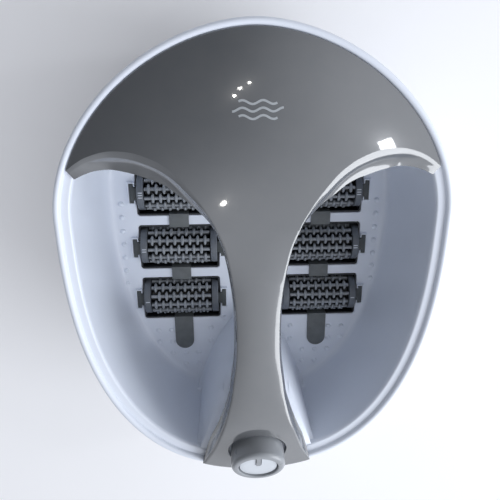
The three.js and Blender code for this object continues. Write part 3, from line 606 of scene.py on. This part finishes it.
def build_nubs():
    profile = [(0, FLOOR_Z - 0.4), (3.3, FLOOR_Z - 0.4), (2.95, FLOOR_Z + 0.1),
               (2.7, FLOOR_Z + 0.6), (2.35, FLOOR_Z + 1.2), (1.75, FLOOR_Z + 1.75),
               (0.95, FLOOR_Z + 2.05), (0, FLOOR_Z + 2.15)]
    nub = lathe(profile, 20)
    shapes = [moved(nub, (side * x, y, 0)) for side in SIDES.values() for x, y in nub_centres()]
    piece = new_piece("floor_nubs", *merged(*shapes), LOOKS["basin_white"], 50)
    place(piece, "tub", "basin_white")


def build_brackets():
    """C-shaped ribs on the floor that hold the tabs of the roller frames."""
    half, thick, reach, hook = 12.0, 1.4, 7.6, 4.6
    lower = [(0, -half), (-reach, -half), (-reach, -half + hook), (-reach + thick, -half + hook),
             (-reach + thick, -half + thick), (-thick, -half + thick)]
    outline = lower + [(u, -v) for u, v in lower[::-1]]
    shapes = []
    for x, y in floor_pockets():
        for direction in (-1, 1):
            ring = [(x + direction * (BRACKET_X + u), y + v) for u, v in outline]
            shapes.append(prism(ring, FLOOR_Z - 0.5, FLOOR_Z + 3.2))
    piece = new_piece("bracket_ribs", *merged(*shapes), LOOKS["basin_white"])
    bevel(piece, 0.45, 3)
    finish_mesh(piece, LOOKS["basin_white"], 40)
    place(piece, "tub", "basin_white")


# ---- casing and base
def build_casing():
    """Rows of (height, inset), down the outside and up the inside."""
    rows = [(166, 7.0), (166, 4.0), (158.6, 4.0), (157.6, 3.6), (157.4, 1.6), (156.6, 1.2),
            (150, 1.4), (135, 2.5), (120, 4.0), (100, 6.8), (80, 9.9), (60, 13.0), (40, 16.3),
            (24, 19.2), (14, 20.8), (9, 21.5), (6.2, 22.3), (4.9, 23.4), (4.5, 25.0), (4.5, 32.6),
            (4.9, 33.0), (7.5, 33.0), (7.5, 25.6), (20, 23.2), (60, 16.0), (120, 7.2), (150, 6.2)]
    rings = [ring_points(wall_radius(i, i, i), z) for z, i in rows]
    casing = new_piece("outer_casing_shell", *loft(rings, closed=True), LOOKS["casing_white"], 40)
    place(casing, "tub", "casing_white", "outer_casing")


def build_feet():
    profile = rounded([(0, 0), (10.6, 0), (12, 1.6), (12, 7.4), (0, 7.4)], 0.8)
    groove = [(0, 0.0), (5.5, 0.0), (6.0, 0.6), (7.0, 0.6), (7.5, 0.0)] + profile[2:]
    for index, (x, y) in enumerate(FEET, 1):
        foot = new_piece(f"foot_{index}", *moved(lathe(groove, 64), (x, y, 0)), LOOKS["rubber"], 50)
        place(foot, "tub", "rubber", f"foot_pad_{index}")


# ---- air strips
def strip_section():
    """Side outline of a strip that dips into every pocket, and where its round end is."""
    lift, depth, half = FLOOR_Z + GAP, POCKET[2] + GAP, POCKET[1] / 2 - GAP
    end_y = STRIP_TIP_Y + STRIP_W / 2
    stations = [(STRIP_BACK_Y, lift, 0)]
    for y in ROWS.values():
        stations += [(y + half, lift, -1), (y + half, depth, -1),
                     (y - half, depth, 1), (y - half, lift, 1)]
    stations.append((end_y, lift, 0))
    bottom = [(y, z) for y, z, _ in stations]
    top = [(y + toward * STRIP_T, z + STRIP_T) for y, z, toward in stations]
    return bottom + top[::-1], end_y, lift


def build_strips():
    outline, end_y, lift = strip_section()
    look = LOOKS["strip_grey"]
    disc = lathe([(0, lift), (STRIP_W / 2, lift), (STRIP_W / 2, lift + STRIP_T),
                  (0, lift + STRIP_T)], 64)
    for label, side in SIDES.items():
        x = side * STRIP_X
        rings = [[(px, y, z) for y, z in outline] for px in (x - STRIP_W / 2, x + STRIP_W / 2)]
        strip = new_piece(f"air_strip_ribbon_{label}", *loft(rings), look)
        boolean(strip, moved(disc, (x, end_y, 0)), "UNION")
        bevel(strip, 0.35, 2, 50)
        finish_mesh(strip, look, 40)
        place(strip, "tub", "strip_grey", f"air_strip_{label}")


# ---- rollers
CORE_R = 13.5
FIN_ROWS, FIN_PITCH = 12, 8.1
PHASE = {"rear": 12.0, "middle": 0.0, "front": -17.0, "left": 0, "right": 4}
TRAY_HALF_X, TRAY_HALF_Y = POCKET[0] / 2 - GAP, POCKET[1] / 2 - GAP
TICKS = {"rear": 3, "middle": 2, "front": 1}


def fin(row_angle, x):
    """One lens-shaped massage fin standing on the barrel core."""
    half_angle = math.radians(15.8)
    steps = 12
    rings = []
    for k in range(steps + 1):
        share = -1 + 2 * k / steps
        angle = row_angle + share * half_angle
        width = 0.55 + 1.0 * (1 - abs(share) ** 2.4) ** 0.7
        top = BARREL_R - 0.1 - 1.9 * abs(share) ** 4
        section = [(-width - 0.25, CORE_R - 0.5), (-width, top - 0.8), (-0.66 * width, top - 0.2),
                   (0, top), (0.66 * width, top - 0.2), (width, top - 0.8),
                   (width + 0.25, CORE_R - 0.5)]
        rings.append([(x + dx, r * math.cos(angle), r * math.sin(angle)) for dx, r in section])
    return loft(rings)


def bar(row_angle, half_length):
    """The rib that carries one row of fins."""
    section = [(-2.1, CORE_R - 0.5), (-1.85, 18.8), (-1.5, 19.8), (-0.7, 20.3), (0.7, 20.3),
               (1.5, 19.8), (1.85, 18.8), (2.1, CORE_R - 0.5)]
    rings = []
    for x in (-half_length, half_length):
        rings.append([(x, r * math.cos(row_angle) - t * math.sin(row_angle),
                       r * math.sin(row_angle) + t * math.cos(row_angle)) for t, r in section])
    return loft(rings)


def mark_depth_for_painted_shade(mesh):
    """Stores how far each point stands above the barrel core, for the painted shade in the deep
    gaps.
    """
    points = np.empty(len(mesh.vertices) * 3)
    mesh.vertices.foreach_get("co", points)
    points = points.reshape(-1, 3) / MM
    radius = np.hypot(points[:, 1], points[:, 2])
    layer = mesh.attributes.new("height", "FLOAT", "POINT")
    layer.data.foreach_set("value", np.clip((radius - CORE_R) / (BARREL_R - CORE_R), 0, 1))


def barrel_mesh():
    """A barrel about the X axis: core, ribs and rows of seven or eight fins."""
    look = LOOKS["roller_fins"]
    half = BARREL_LEN / 2
    core_profile = [(2.8, -half), (12.6, -half), (CORE_R, -half + 0.8), (CORE_R, half - 0.8),
                    (12.6, half), (2.8, half), (2.8, -half)]
    barrel = new_piece("barrel_tool", *moved(lathe(core_profile, 72), turn=AXLE_TURN), look)
    bars, fins = [], []
    for row in range(FIN_ROWS):
        angle = math.radians(360 / FIN_ROWS * row)
        count = 7 if row % 2 == 0 else 8
        bars.append(bar(angle, half - 0.4))
        for k in range(count):
            fins.append(fin(angle, (k - (count - 1) / 2) * FIN_PITCH))
    boolean(barrel, merged(*bars), "UNION")
    boolean(barrel, merged(*fins), "UNION")
    finish_mesh(barrel, look, 42)
    mesh = barrel.data
    mark_depth_for_painted_shade(mesh)
    bpy.data.objects.remove(barrel)
    return mesh


def build_barrels():
    source = barrel_mesh()
    for label, side in SIDES.items():
        for row, y in ROWS.items():
            # The first rib points at the top, turned a little by the phase of its place.
            angle = math.radians(90 + PHASE[row] + PHASE[label])
            mesh = source.copy()
            mesh.transform(Matrix.Translation((side * ROLLER_X * MM, y * MM, AXLE_Z * MM))
                           @ Matrix.Rotation(angle, 4, "X"))
            obj = add_object(f"roller_barrel_{row}_{label}", mesh)
            weigh_normals(obj)
            place(obj, f"roller_{row}_{label}", "roller_grey", f"barrel_{row}_{label}")


def tray_shape():
    """The tray that lines a pocket, around the axle; its near-black colour is painted shade of the
    deep gap.
    """
    low = POCKET[2] + STRIP_T + 0.6 - AXLE_Z
    rim = FLOOR_Z - 0.6 - AXLE_Z
    wall, corner = 1.5, 2.7
    rows = [(0.0, low), (0.0, rim), (wall, rim), (wall, low + 1.0)]
    rings = [[(px, py, z) for px, py in
              rounded_rect(0, 0, TRAY_HALF_X - inset, TRAY_HALF_Y - inset,
                           max(0.6, corner - inset))]
             for inset, z in rows]
    return loft(rings)


def cheek_shape(side):
    """An end plate of a roller frame, with a round top over the axle."""
    low = POCKET[2] + STRIP_T + 1.4 - AXLE_Z
    top_radius, foot_half, centre_z = 20.2, 19.6, 1
    outline = [(-foot_half, low), (foot_half, low), (top_radius, centre_z)]
    outline += [(top_radius * math.cos(math.radians(a)),
                 top_radius * math.sin(math.radians(a)) + centre_z) for a in range(5, 180, 5)]
    outline += [(-top_radius, centre_z)]
    faces_x = (TRAY_HALF_X - 1.7, TRAY_HALF_X - 8.7)
    return loft([[(side * x, y, z) for y, z in outline] for x in faces_x])


def tab_shape(side):
    """A T-shaped tab whose bar sits inside the floor bracket."""
    inner, bar_in, bar_out = POCKET[0] / 2 - 3, 45.3, 49.5
    stem_half, bar_half, thick = 6.5, 10.2, 2.7
    outline = [(inner, -stem_half), (bar_in, -stem_half), (bar_in, -bar_half),
               (bar_out, -bar_half), (bar_out, bar_half), (bar_in, bar_half),
               (bar_in, stem_half), (inner, stem_half)]
    top = FLOOR_Z - AXLE_Z + 3
    return prism([(side * x, y) for x, y in outline], top - thick, top)


def tick_shapes(outward, count):
    """Short raised ticks on the outer cheek."""
    x = outward * (TRAY_HALF_X - 5.6)
    half_long, half_wide, pitch = 2.2, 0.5, 2.6
    return [box_mesh((x - half_long, dy - half_wide, 20.3), (x + half_long, dy + half_wide, 21.5))
            for dy in [(k - (count - 1) / 2) * pitch for k in range(count)]]


def strip_slots(side):
    """Cutters for the two walls of a tray that the air strip passes."""
    shift, reach = side * (STRIP_X - ROLLER_X), STRIP_W / 2 + GAP
    return merged(*[box_mesh((shift - reach, near, -30), (shift + reach, far, 30))
                    for near, far in ((-30, -22.8), (22.8, 30))])


def build_module(row, label):
    """The frame and axle of one roller, as five pieces."""
    side, spot = SIDES[label], f"{row}_{label}"
    centre = (side * ROLLER_X, ROWS[row], AXLE_Z)
    hole = moved(lathe([(0, -60), (2.8, -60), (2.8, 60), (0, 60)], 32), turn=AXLE_TURN)
    # Each row: name, shape, look, slot, cutter, bevel width and segments, smoothing angle.
    pieces = (
        # The tray's near-black dark plastic stands for painted shade in the deep gap around the
        # roller.
        ("tray", tray_shape(), LOOKS["dark_plastic"], "dark_plastic",
         strip_slots(side), None, 35),
        ("cheeks", merged(cheek_shape(-1), cheek_shape(1)), LOOKS["roller_grey"], "roller_grey",
         hole, (0.9, 3), 40),
        # The tabs are strip grey plastic; their darker look is painted shade.
        ("tabs", merged(tab_shape(-1), tab_shape(1)), LOOKS["tab_grey_painted_shade"], "strip_grey",
         None, (0.4, 2), 40),
        ("marks", merged(*tick_shapes(side, TICKS[row])), LOOKS["knob_white"], "roller_grey",
         None, (0.15, 2), 40),
    )
    for name, shape, look, slot, cutter, edge, smooth in pieces:
        piece = new_piece(f"module_{name}_{spot}", *moved(shape, centre), look)
        if cutter:
            boolean(piece, moved(cutter, centre), "DIFFERENCE")
        if edge:
            bevel(piece, *edge, 50)
        finish_mesh(piece, look, smooth)
        place(piece, f"module_{spot}", slot, f"cradle_{spot}")
    pin = lathe(rounded([(0, -42.4), (2.5, -42.4), (2.5, 42.4), (0, 42.4)], 0.4), 32)
    axle = new_piece(f"module_axle_{spot}", *moved(pin, centre, AXLE_TURN), LOOKS["steel"])
    place(axle, f"module_{spot}", "steel", f"axle_{spot}")


# ---- splash cover
# Crest of the wings as (x, y, width of the lip below it); edge of the neck as (y, half width).
CREST = [(33, 50, 2.6), (37, 58.8, 3.8), (46, 73.5, 7), (54, 84, 10.4), (64, 95.2, 13),
         (74, 103, 15.2), (84, 108.2, 17), (100, 113.1, 18), (120, 113.7, 16.6),
         (138, 108.8, 13.6), (149.5, 102.7, 11.4), (158.4, 96.2, 9.4)]
NECK = [(50, 33), (37, 28.1), (22, 24.6), (7.5, 22.1), (-8, 20.1), (-27, 18.6), (-49, 18.3),
        (-72, 19.1), (-94.5, 21.9), (-110, 23.9), (-123.5, 26.8), (-138, 30.1), (-155, 34.9),
        (-177, 42.1), (-191, 48.1), (-204, 54.2)]
NECK_LIP, NOSE_LIP = 2.6, 6.0
# Share of the lip's width and drop: a gentle band beside the crest, then a hollow slope.
LIP_PROFILE = [(0.03, 0.004), (0.07, 0.02), (0.13, 0.055), (0.22, 0.115), (0.27, 0.15),
               (0.30, 0.185), (0.33, 0.24), (0.42, 0.41), (0.54, 0.59), (0.70, 0.77),
               (0.86, 0.90), (1.0, 1.0)]
NECK_CROWN = 3.0
EDGE_ROUND = 0.6  # how far the rounded rim of the sheet stands out
CENTRE_HALF = 16  # columns on each side of the middle one, down the neck
DOME_ROWS = 44
TIP_RUN, NOSE_RUN, LIP_DROP = 42, 40, 9


def cover_height(x, y):
    """The lower of the dome and the slope of the nose, softly blended."""
    back = np.maximum(0, y - WIDEST_Y) / (BACK_REACH - COVER_INSET)
    side = np.minimum(1, np.abs(x) / (HALF_WIDTH - COVER_INSET))
    radius = np.minimum(1, (side ** BACK_POWER + back ** BACK_POWER) ** (1 / BACK_POWER))
    dome = COVER_EDGE_Z + DOME_RISE * (1 - radius ** 2.6)
    nose = NOSE_EDGE_Z + math.tan(TILT) * (y - NOSE_FRONT_Y)
    blend, middle = 4, 180
    return middle - blend * np.log(np.exp((middle - dome) / blend)
                                   + np.exp((middle - nose) / blend))


def outline_y(x, inset, direction):
    power = BACK_POWER if direction > 0 else FRONT_POWER
    reach = (BACK_REACH if direction > 0 else FRONT_REACH) - inset
    share = np.abs(x) / (HALF_WIDTH - inset)
    return WIDEST_Y + direction * reach * np.maximum(0, 1 - share ** power) ** (1 / power)


def put(verts, x, y, z):
    verts.append((x, y, z))
    return len(verts) - 1


def dome_columns(verts, tops):
    """Columns of points from the back edge to each (x, y) of the crest."""
    columns = []
    for x, crest_y in tops:
        back_y = float(outline_y(x, COVER_INSET + EDGE_ROUND, 1))
        column = []
        for row in range(DOME_ROWS + 1):
            t = 1 - (1 - row / DOME_ROWS) ** 1.15
            y = back_y + (crest_y - back_y) * t
            column.append(put(verts, x, y, float(cover_height(x, y))))
        columns.append(column)
    return columns


def neck_columns(verts, starts, shares):
    """Columns of points from the crest to the front edge of the nose."""
    path = smooth_path(NECK, 7)[1:]
    last_y, last_half = path[-1]
    stretch_from, crown_run = -150, 50
    columns = []
    for start, share in zip(starts, shares):
        column = [start]
        front = float(outline_y(share * last_half, GAP + EDGE_ROUND + 2.4 * share ** 2, -1))
        for y, half in path:
            reach = smoothstep((stretch_from - y) / (stretch_from - last_y))
            y = y + (front - last_y) * float(reach)
            crown = NECK_CROWN * share * share * min(1.0, (NECK[0][0] - y) / crown_run)
            x = share * half
            column.append(put(verts, x, y, max(float(cover_height(x, y)) - crown, NOSE_EDGE_Z)))
        columns.append(column)
    return columns


def cover_grid():
    """Top sheet of the cover: dome, neck and lips."""
    verts, faces = [], []
    crest = smooth_path(CREST, 6)
    wing = [(x, y) for x, y, _ in crest[1:]]
    shares = [k / CENTRE_HALF for k in range(-CENTRE_HALF, CENTRE_HALF + 1)]
    middle = [(share * crest[0][0], crest[0][1]) for share in shares]
    dome = dome_columns(verts, [(-x, y) for x, y in wing[::-1]] + middle + wing)
    first, last = len(wing), len(wing) + len(shares) - 1
    neck = neck_columns(verts, [column[-1] for column in dome[first:last + 1]], shares)
    for sheet in (dome, neck):
        for left, right in zip(sheet, sheet[1:]):
            for row in range(len(left) - 1):
                faces.append((left[row], left[row + 1], right[row + 1], right[row]))
    for side, wing_columns, edge in ((-1, dome[:first + 1], neck[0]),
                                     (1, dome[:last - 1:-1], neck[-1])):
        along = [column[-1] for column in wing_columns] + edge[1:]
        widths = [width for _, _, width in crest[::-1]]
        widths += [neck_lip(verts[i][1]) for i in along[len(widths):]]
        add_lip(verts, faces, along, np.array(widths), side)
    return verts, faces


def neck_lip(y):
    return NECK_LIP + (NOSE_LIP - NECK_LIP) * float(smoothstep((-105 - y) / 65))


def add_lip(verts, faces, along, widths, side):
    """The rounded crest and the band that slopes down to the edge of a foot opening."""
    p = np.array([verts[i] for i in along])
    run = np.gradient(p[:, :2], axis=0)
    for _ in range(3):
        run[1:-1] = (run[:-2] + 2 * run[1:-1] + run[2:]) / 4
    run /= np.linalg.norm(run, axis=1)[:, None]
    normal = np.stack([-side * run[:, 1], side * run[:, 0]], 1)
    distance = np.concatenate([[0], np.cumsum(np.linalg.norm(np.diff(p[:, :2], axis=0), axis=1))])
    from_tip = smoothstep(distance / TIP_RUN)
    from_nose = np.sin(np.clip((distance[-1] - distance) / NOSE_RUN, 0, 1) * math.pi / 2)
    out = widths * (0.06 + 0.94 * from_nose)
    drop = LIP_DROP * (0.1 + 0.9 * from_tip) * (0.02 + 0.98 * from_nose)
    previous = along
    for t_out, t_drop in LIP_PROFILE:
        current = []
        for i in range(len(along)):
            x, y, z = p[i]
            verts.append((x + normal[i, 0] * out[i] * t_out, y + normal[i, 1] * out[i] * t_out,
                          z - drop[i] * t_drop))
            current.append(len(verts) - 1)
        for i in range(len(along) - 1):
            quad = (previous[i], previous[i + 1], current[i + 1], current[i])
            faces.append(quad if side < 0 else quad[::-1])
        previous = current


def border_normals(verts, border):
    """Outward plan direction at every border point of the sheet."""
    total = {}
    for a, b in border:
        pa, pb = verts[a], verts[b]
        run = np.array([pb[0] - pa[0], pb[1] - pa[1]])
        out = np.array([run[1], -run[0]]) / max(np.linalg.norm(run), 1e-9)
        for end in (a, b):
            total[end] = total.get(end, np.zeros(2)) + out
    return {i: v / max(np.linalg.norm(v), 1e-9) for i, v in total.items()}


def thickened(verts, faces, wall):
    """The sheet given a thickness straight down, with its border rounded."""
    count = len(verts)
    used = {edge for face in faces for edge in zip(face, face[1:] + face[:1])}
    border = [(a, b) for a, b in used if (b, a) not in used]
    area = sum(verts[a][0] * verts[b][1] - verts[b][0] * verts[a][1] for a, b in border)
    flip = 1 if area > 0 else -1
    normals = border_normals(verts, border)
    all_verts = list(verts) + [(x, y, z - wall) for x, y, z in verts]
    closed = list(faces) + [tuple(i + count for i in face[::-1]) for face in faces]
    ladder = {i: [i] for i in normals}
    for out, down in ((0.45, 0.12), (0.85, 0.35), (1.0, 0.6), (1.0, wall - 0.6),
                      (0.85, wall - 0.35), (0.45, wall - 0.12)):
        for i, normal in normals.items():
            x, y, z = verts[i]
            ladder[i].append(len(all_verts))
            all_verts.append((x + normal[0] * flip * EDGE_ROUND * out,
                              y + normal[1] * flip * EDGE_ROUND * out, z - down))
    for i in normals:
        ladder[i].append(i + count)
    for a, b in border:
        for k in range(len(ladder[a]) - 1):
            closed.append((ladder[b][k], ladder[a][k], ladder[a][k + 1], ladder[b][k + 1]))
    return all_verts, closed


def build_cover():
    look = LOOKS["cover_grey"]
    cover = new_piece("splash_cover_shell", *thickened(*cover_grid(), COVER_WALL), look)
    profile = [(0, -14), (28.75, -14), (28.75, -1.2), (29.0, -0.45), (29.6, 0.05), (30.6, 0.6),
               (30.6, 34), (0, 34)]
    boolean(cover, in_knob_frame(lathe(profile, 120)), "DIFFERENCE")
    finish_mesh(cover, look, 38)
    weigh_normals(cover)
    place(cover, "cover", "cover_grey", "splash_cover")


def ribbon_on_cover(path, half_width):
    """A thin raised ribbon that follows the cover along a plan path."""
    path = np.array(path, float)
    run = np.gradient(path, axis=0)
    run /= np.linalg.norm(run, axis=1)[:, None]
    side = np.stack([-run[:, 1], run[:, 0]], 1)
    sunk, proud = 0.4, 0.12
    rings = []
    for point, across in zip(path, side):
        a, b = point + across * half_width, point - across * half_width
        ha, hb = float(cover_height(*a)), float(cover_height(*b))
        rings.append([(*a, ha - sunk), (*a, ha + proud), (*b, hb + proud), (*b, hb - sunk)])
    return loft(rings)


def build_icon():
    """A plain water icon: three short wavy lines where a label would sit."""
    shapes = []
    wave_height, wave_length, half_width = 1.4, 16, 0.85
    for y, reach in ((152.5, 15.0), (147.0, 20.0), (141.5, 15.0)):
        x = np.linspace(-1, 1, 61) * reach
        path = np.stack([x, y + wave_height * np.sin(x / wave_length * 2 * math.pi)], 1)
        shapes.append(ribbon_on_cover(path, half_width))
    piece = new_piece("cover_icon", *merged(*shapes), LOOKS["icon_ink"], 40)
    place(piece, "cover", "cover_grey")


# ---- knob
def build_knob_body():
    """The grey ring with its skirt, its recess and the pointer tab in it."""
    look = LOOKS["knob_grey"]
    profile = [(0, 8), (3.3, 8), (3.3, -2), (23.4, -2), (23.7, -6), (25.4, -6), (25.7, -5.7),
               (25.9, 5)]
    profile += [(21.9 + 4.1 * math.cos(math.radians(a)), 12.9 + 4.2 * math.sin(math.radians(a)))
                for a in range(0, 91, 9)]
    profile += [(20.3, 17.2), (19.7, 17.05), (19.3, 16.7), (19.1, 16.1), (19.1, 12.4), (0, 12.4)]
    body = new_piece("knob_shell", *in_knob_frame(lathe(profile, 160)), look)
    tab = prism(rounded_rect(0, 11.9, 2.1, 7.9, 1.0), 12.0, 16.7)
    boolean(body, in_knob_frame(tab), "UNION")
    bevel(body, 0.3, 2, 60)
    finish_mesh(body, look, 35)
    weigh_normals(body)
    place(body, "knob", "knob_grey", "knob_body")


def build_knob_disc():
    """The pale disc in the recess, cut open around the pointer tab."""
    look = LOOKS["knob_white"]
    profile = [(0, 12.7), (18.0, 12.7), (18.0, 14.9), (17.8, 15.25), (17.3, 15.4), (12, 15.5),
               (0, 15.55)]
    disc = new_piece("knob_disc", *in_knob_frame(lathe(profile, 128)), look)
    notch = prism(rounded_rect(0, 13.3, 2.9, 10.2, 1.6), 10, 20)
    boolean(disc, in_knob_frame(notch), "DIFFERENCE")
    finish_mesh(disc, look, 40)
    place(disc, "knob", "knob_white", "knob_face")


# ---- CAD pieces
def dress_frame_nodes():
    slots = {row["node"]: row["material_slot"] for row in frame["record"]["subparts"]}
    for node, obj in frame["nodes"].items():
        look = LOOKS[slots[node]]
        obj.data.materials.clear()
        obj.data.materials.append(look)
        for polygon in obj.data.polygons:
            polygon.material_index = 0


# ---- stage
DAYLIGHT, LAMPLIGHT = (0.93, 0.96, 1.0), (1.0, 0.97, 0.92)
# Each light: name, place and aim in metres, width, height, watts, colour.
LIGHTS = [("window", (1.80, -0.85, 1.22), (0, 0, 0.12), 1.8, 1.5, 34, DAYLIGHT),
          ("doorway", (1.52, 0.50, 1.36), (0, 0, 0.15), 0.13, 0.24, 2.5, DAYLIGHT)]
LIGHTS += [("lamp", (x, y, 1.75), (0, 0.1, 0.2), 0.03, 0.03, 0.25, LAMPLIGHT)
           for x, y in ((-0.19, 1.08), (-0.13, 1.21), (-0.01, 1.31), (-0.15, -0.22))]


def build_floor():
    mesh = bpy.data.meshes.new("floor")
    size = 6.0
    mesh.from_pydata([(-size, -size, 0), (size, -size, 0), (size, size, 0), (-size, size, 0)], [],
                     [(0, 1, 2, 3)])
    floor = add_object("floor", mesh)
    paper = Look("floor_look", (0.87, 0.87, 0.885), 0.85)
    paper.tint(3.0, (0.855, 0.855, 0.87)).bump(300.0, 0.05, 0.0003)
    set_inputs(paper.shader, Emission_Color=(0.96, 0.97, 1.0, 1), Emission_Strength=0.08)
    mesh.materials.append(paper.material)


def soft_glow(tree, direction, stops):
    """Light that fades away from a direction; stops are (share, grey), at 1 the direction."""
    coords = add_node(tree, "ShaderNodeTexCoord")
    facing = add_node(tree, "ShaderNodeVectorMath")
    facing.operation = "DOT_PRODUCT"
    facing.inputs[1].default_value = Vector(direction).normalized()
    spread = add_node(tree, "ShaderNodeMapRange", From_Min=-1.0)
    ramp = add_node(tree, "ShaderNodeValToRGB")
    ramp.color_ramp.interpolation = "B_SPLINE"
    elements = ramp.color_ramp.elements
    while len(elements) < len(stops):
        elements.new(0.5)
    for element, (share, grey) in zip(elements, stops):
        element.position = share
        element.color = (grey * 0.95, grey * 0.98, grey * 1.05, 1)
    tree.links.new(coords.outputs["Generated"], facing.inputs[0])
    tree.links.new(facing.outputs["Value"], spread.inputs["Value"])
    tree.links.new(spread.outputs["Result"], ramp.inputs["Fac"])
    return ramp.outputs["Color"]


def build_world():
    """Two soft glows, high in front and at the right; the camera sees a pale backdrop."""
    world = bpy.data.worlds.new("studio")
    bpy.context.scene.world = world
    world.use_nodes = True
    tree = world.node_tree
    link = tree.links.new
    front = soft_glow(tree, (0.22, -0.75, 0.62),
                      [(0.30, 0.022), (0.62, 0.07), (0.76, 0.22), (0.88, 0.62), (1.0, 0.98)])
    right = soft_glow(tree, (0.80, 0.36, 0.50),
                      [(0.70, 0.0), (0.82, 0.12), (0.93, 0.5), (1.0, 0.95)])
    both = add_node(tree, "ShaderNodeVectorMath")
    link(front, both.inputs[0])
    link(right, both.inputs[1])
    room = tree.nodes["Background"]
    link(both.outputs[0], room.inputs["Color"])
    room.inputs["Strength"].default_value = 1.2
    backdrop = add_node(tree, "ShaderNodeBackground", Color=(0.80, 0.82, 0.85, 1))
    seen = add_node(tree, "ShaderNodeLightPath")
    choice = add_node(tree, "ShaderNodeMixShader")
    link(seen.outputs["Is Camera Ray"], choice.inputs["Fac"])
    link(room.outputs[0], choice.inputs[1])
    link(backdrop.outputs[0], choice.inputs[2])
    link(choice.outputs[0], tree.nodes["World Output"].inputs["Surface"])


def area_light(name, location, aim, size_x, size_y, power, color):
    light = bpy.data.lights.new(name, "AREA")
    light.shape = "RECTANGLE"
    light.size, light.size_y = size_x, size_y
    light.energy, light.color = power, color
    obj = add_object(name, light)
    obj.location = location
    obj.rotation_euler = (Vector(aim) - Vector(location)).to_track_quat("-Z", "Y").to_euler()


def build_camera():
    """A phone held over the toe end, a little to the left, looking down towards the knob."""
    eye = Vector((-0.0270, 0.190, 0.6333))
    tilt, yaw, roll = math.radians(19.99), math.radians(2.52), math.radians(1.17)
    forward = Vector((math.sin(yaw), -math.sin(tilt) * math.cos(yaw),
                      -math.cos(tilt) * math.cos(yaw)))
    level = (Vector((1, 0, 0)) - forward * forward.x).normalized()
    turn = Matrix.Rotation(roll, 3, forward)
    right, up = turn @ level, turn @ level.cross(forward)
    camera_data = bpy.data.cameras.new("photo_camera")
    camera_data.lens = 39.6
    camera = add_object("photo_camera", camera_data)
    matrix = Matrix((right, up, -forward)).transposed().to_4x4()
    matrix.translation = eye
    camera.matrix_world = matrix
    bpy.context.scene.camera = camera


dress_frame_nodes()
build_basin()
build_nubs()
build_brackets()
build_casing()
build_feet()
build_strips()
build_barrels()
for label in SIDES:
    for row in ROWS:
        build_module(row, label)
build_cover()
build_icon()
build_knob_body()
build_knob_disc()
build_floor()
bpy.context.scene.view_settings.view_transform = "Standard"
build_world()
for light in LIGHTS:
    area_light(*light)
build_camera()
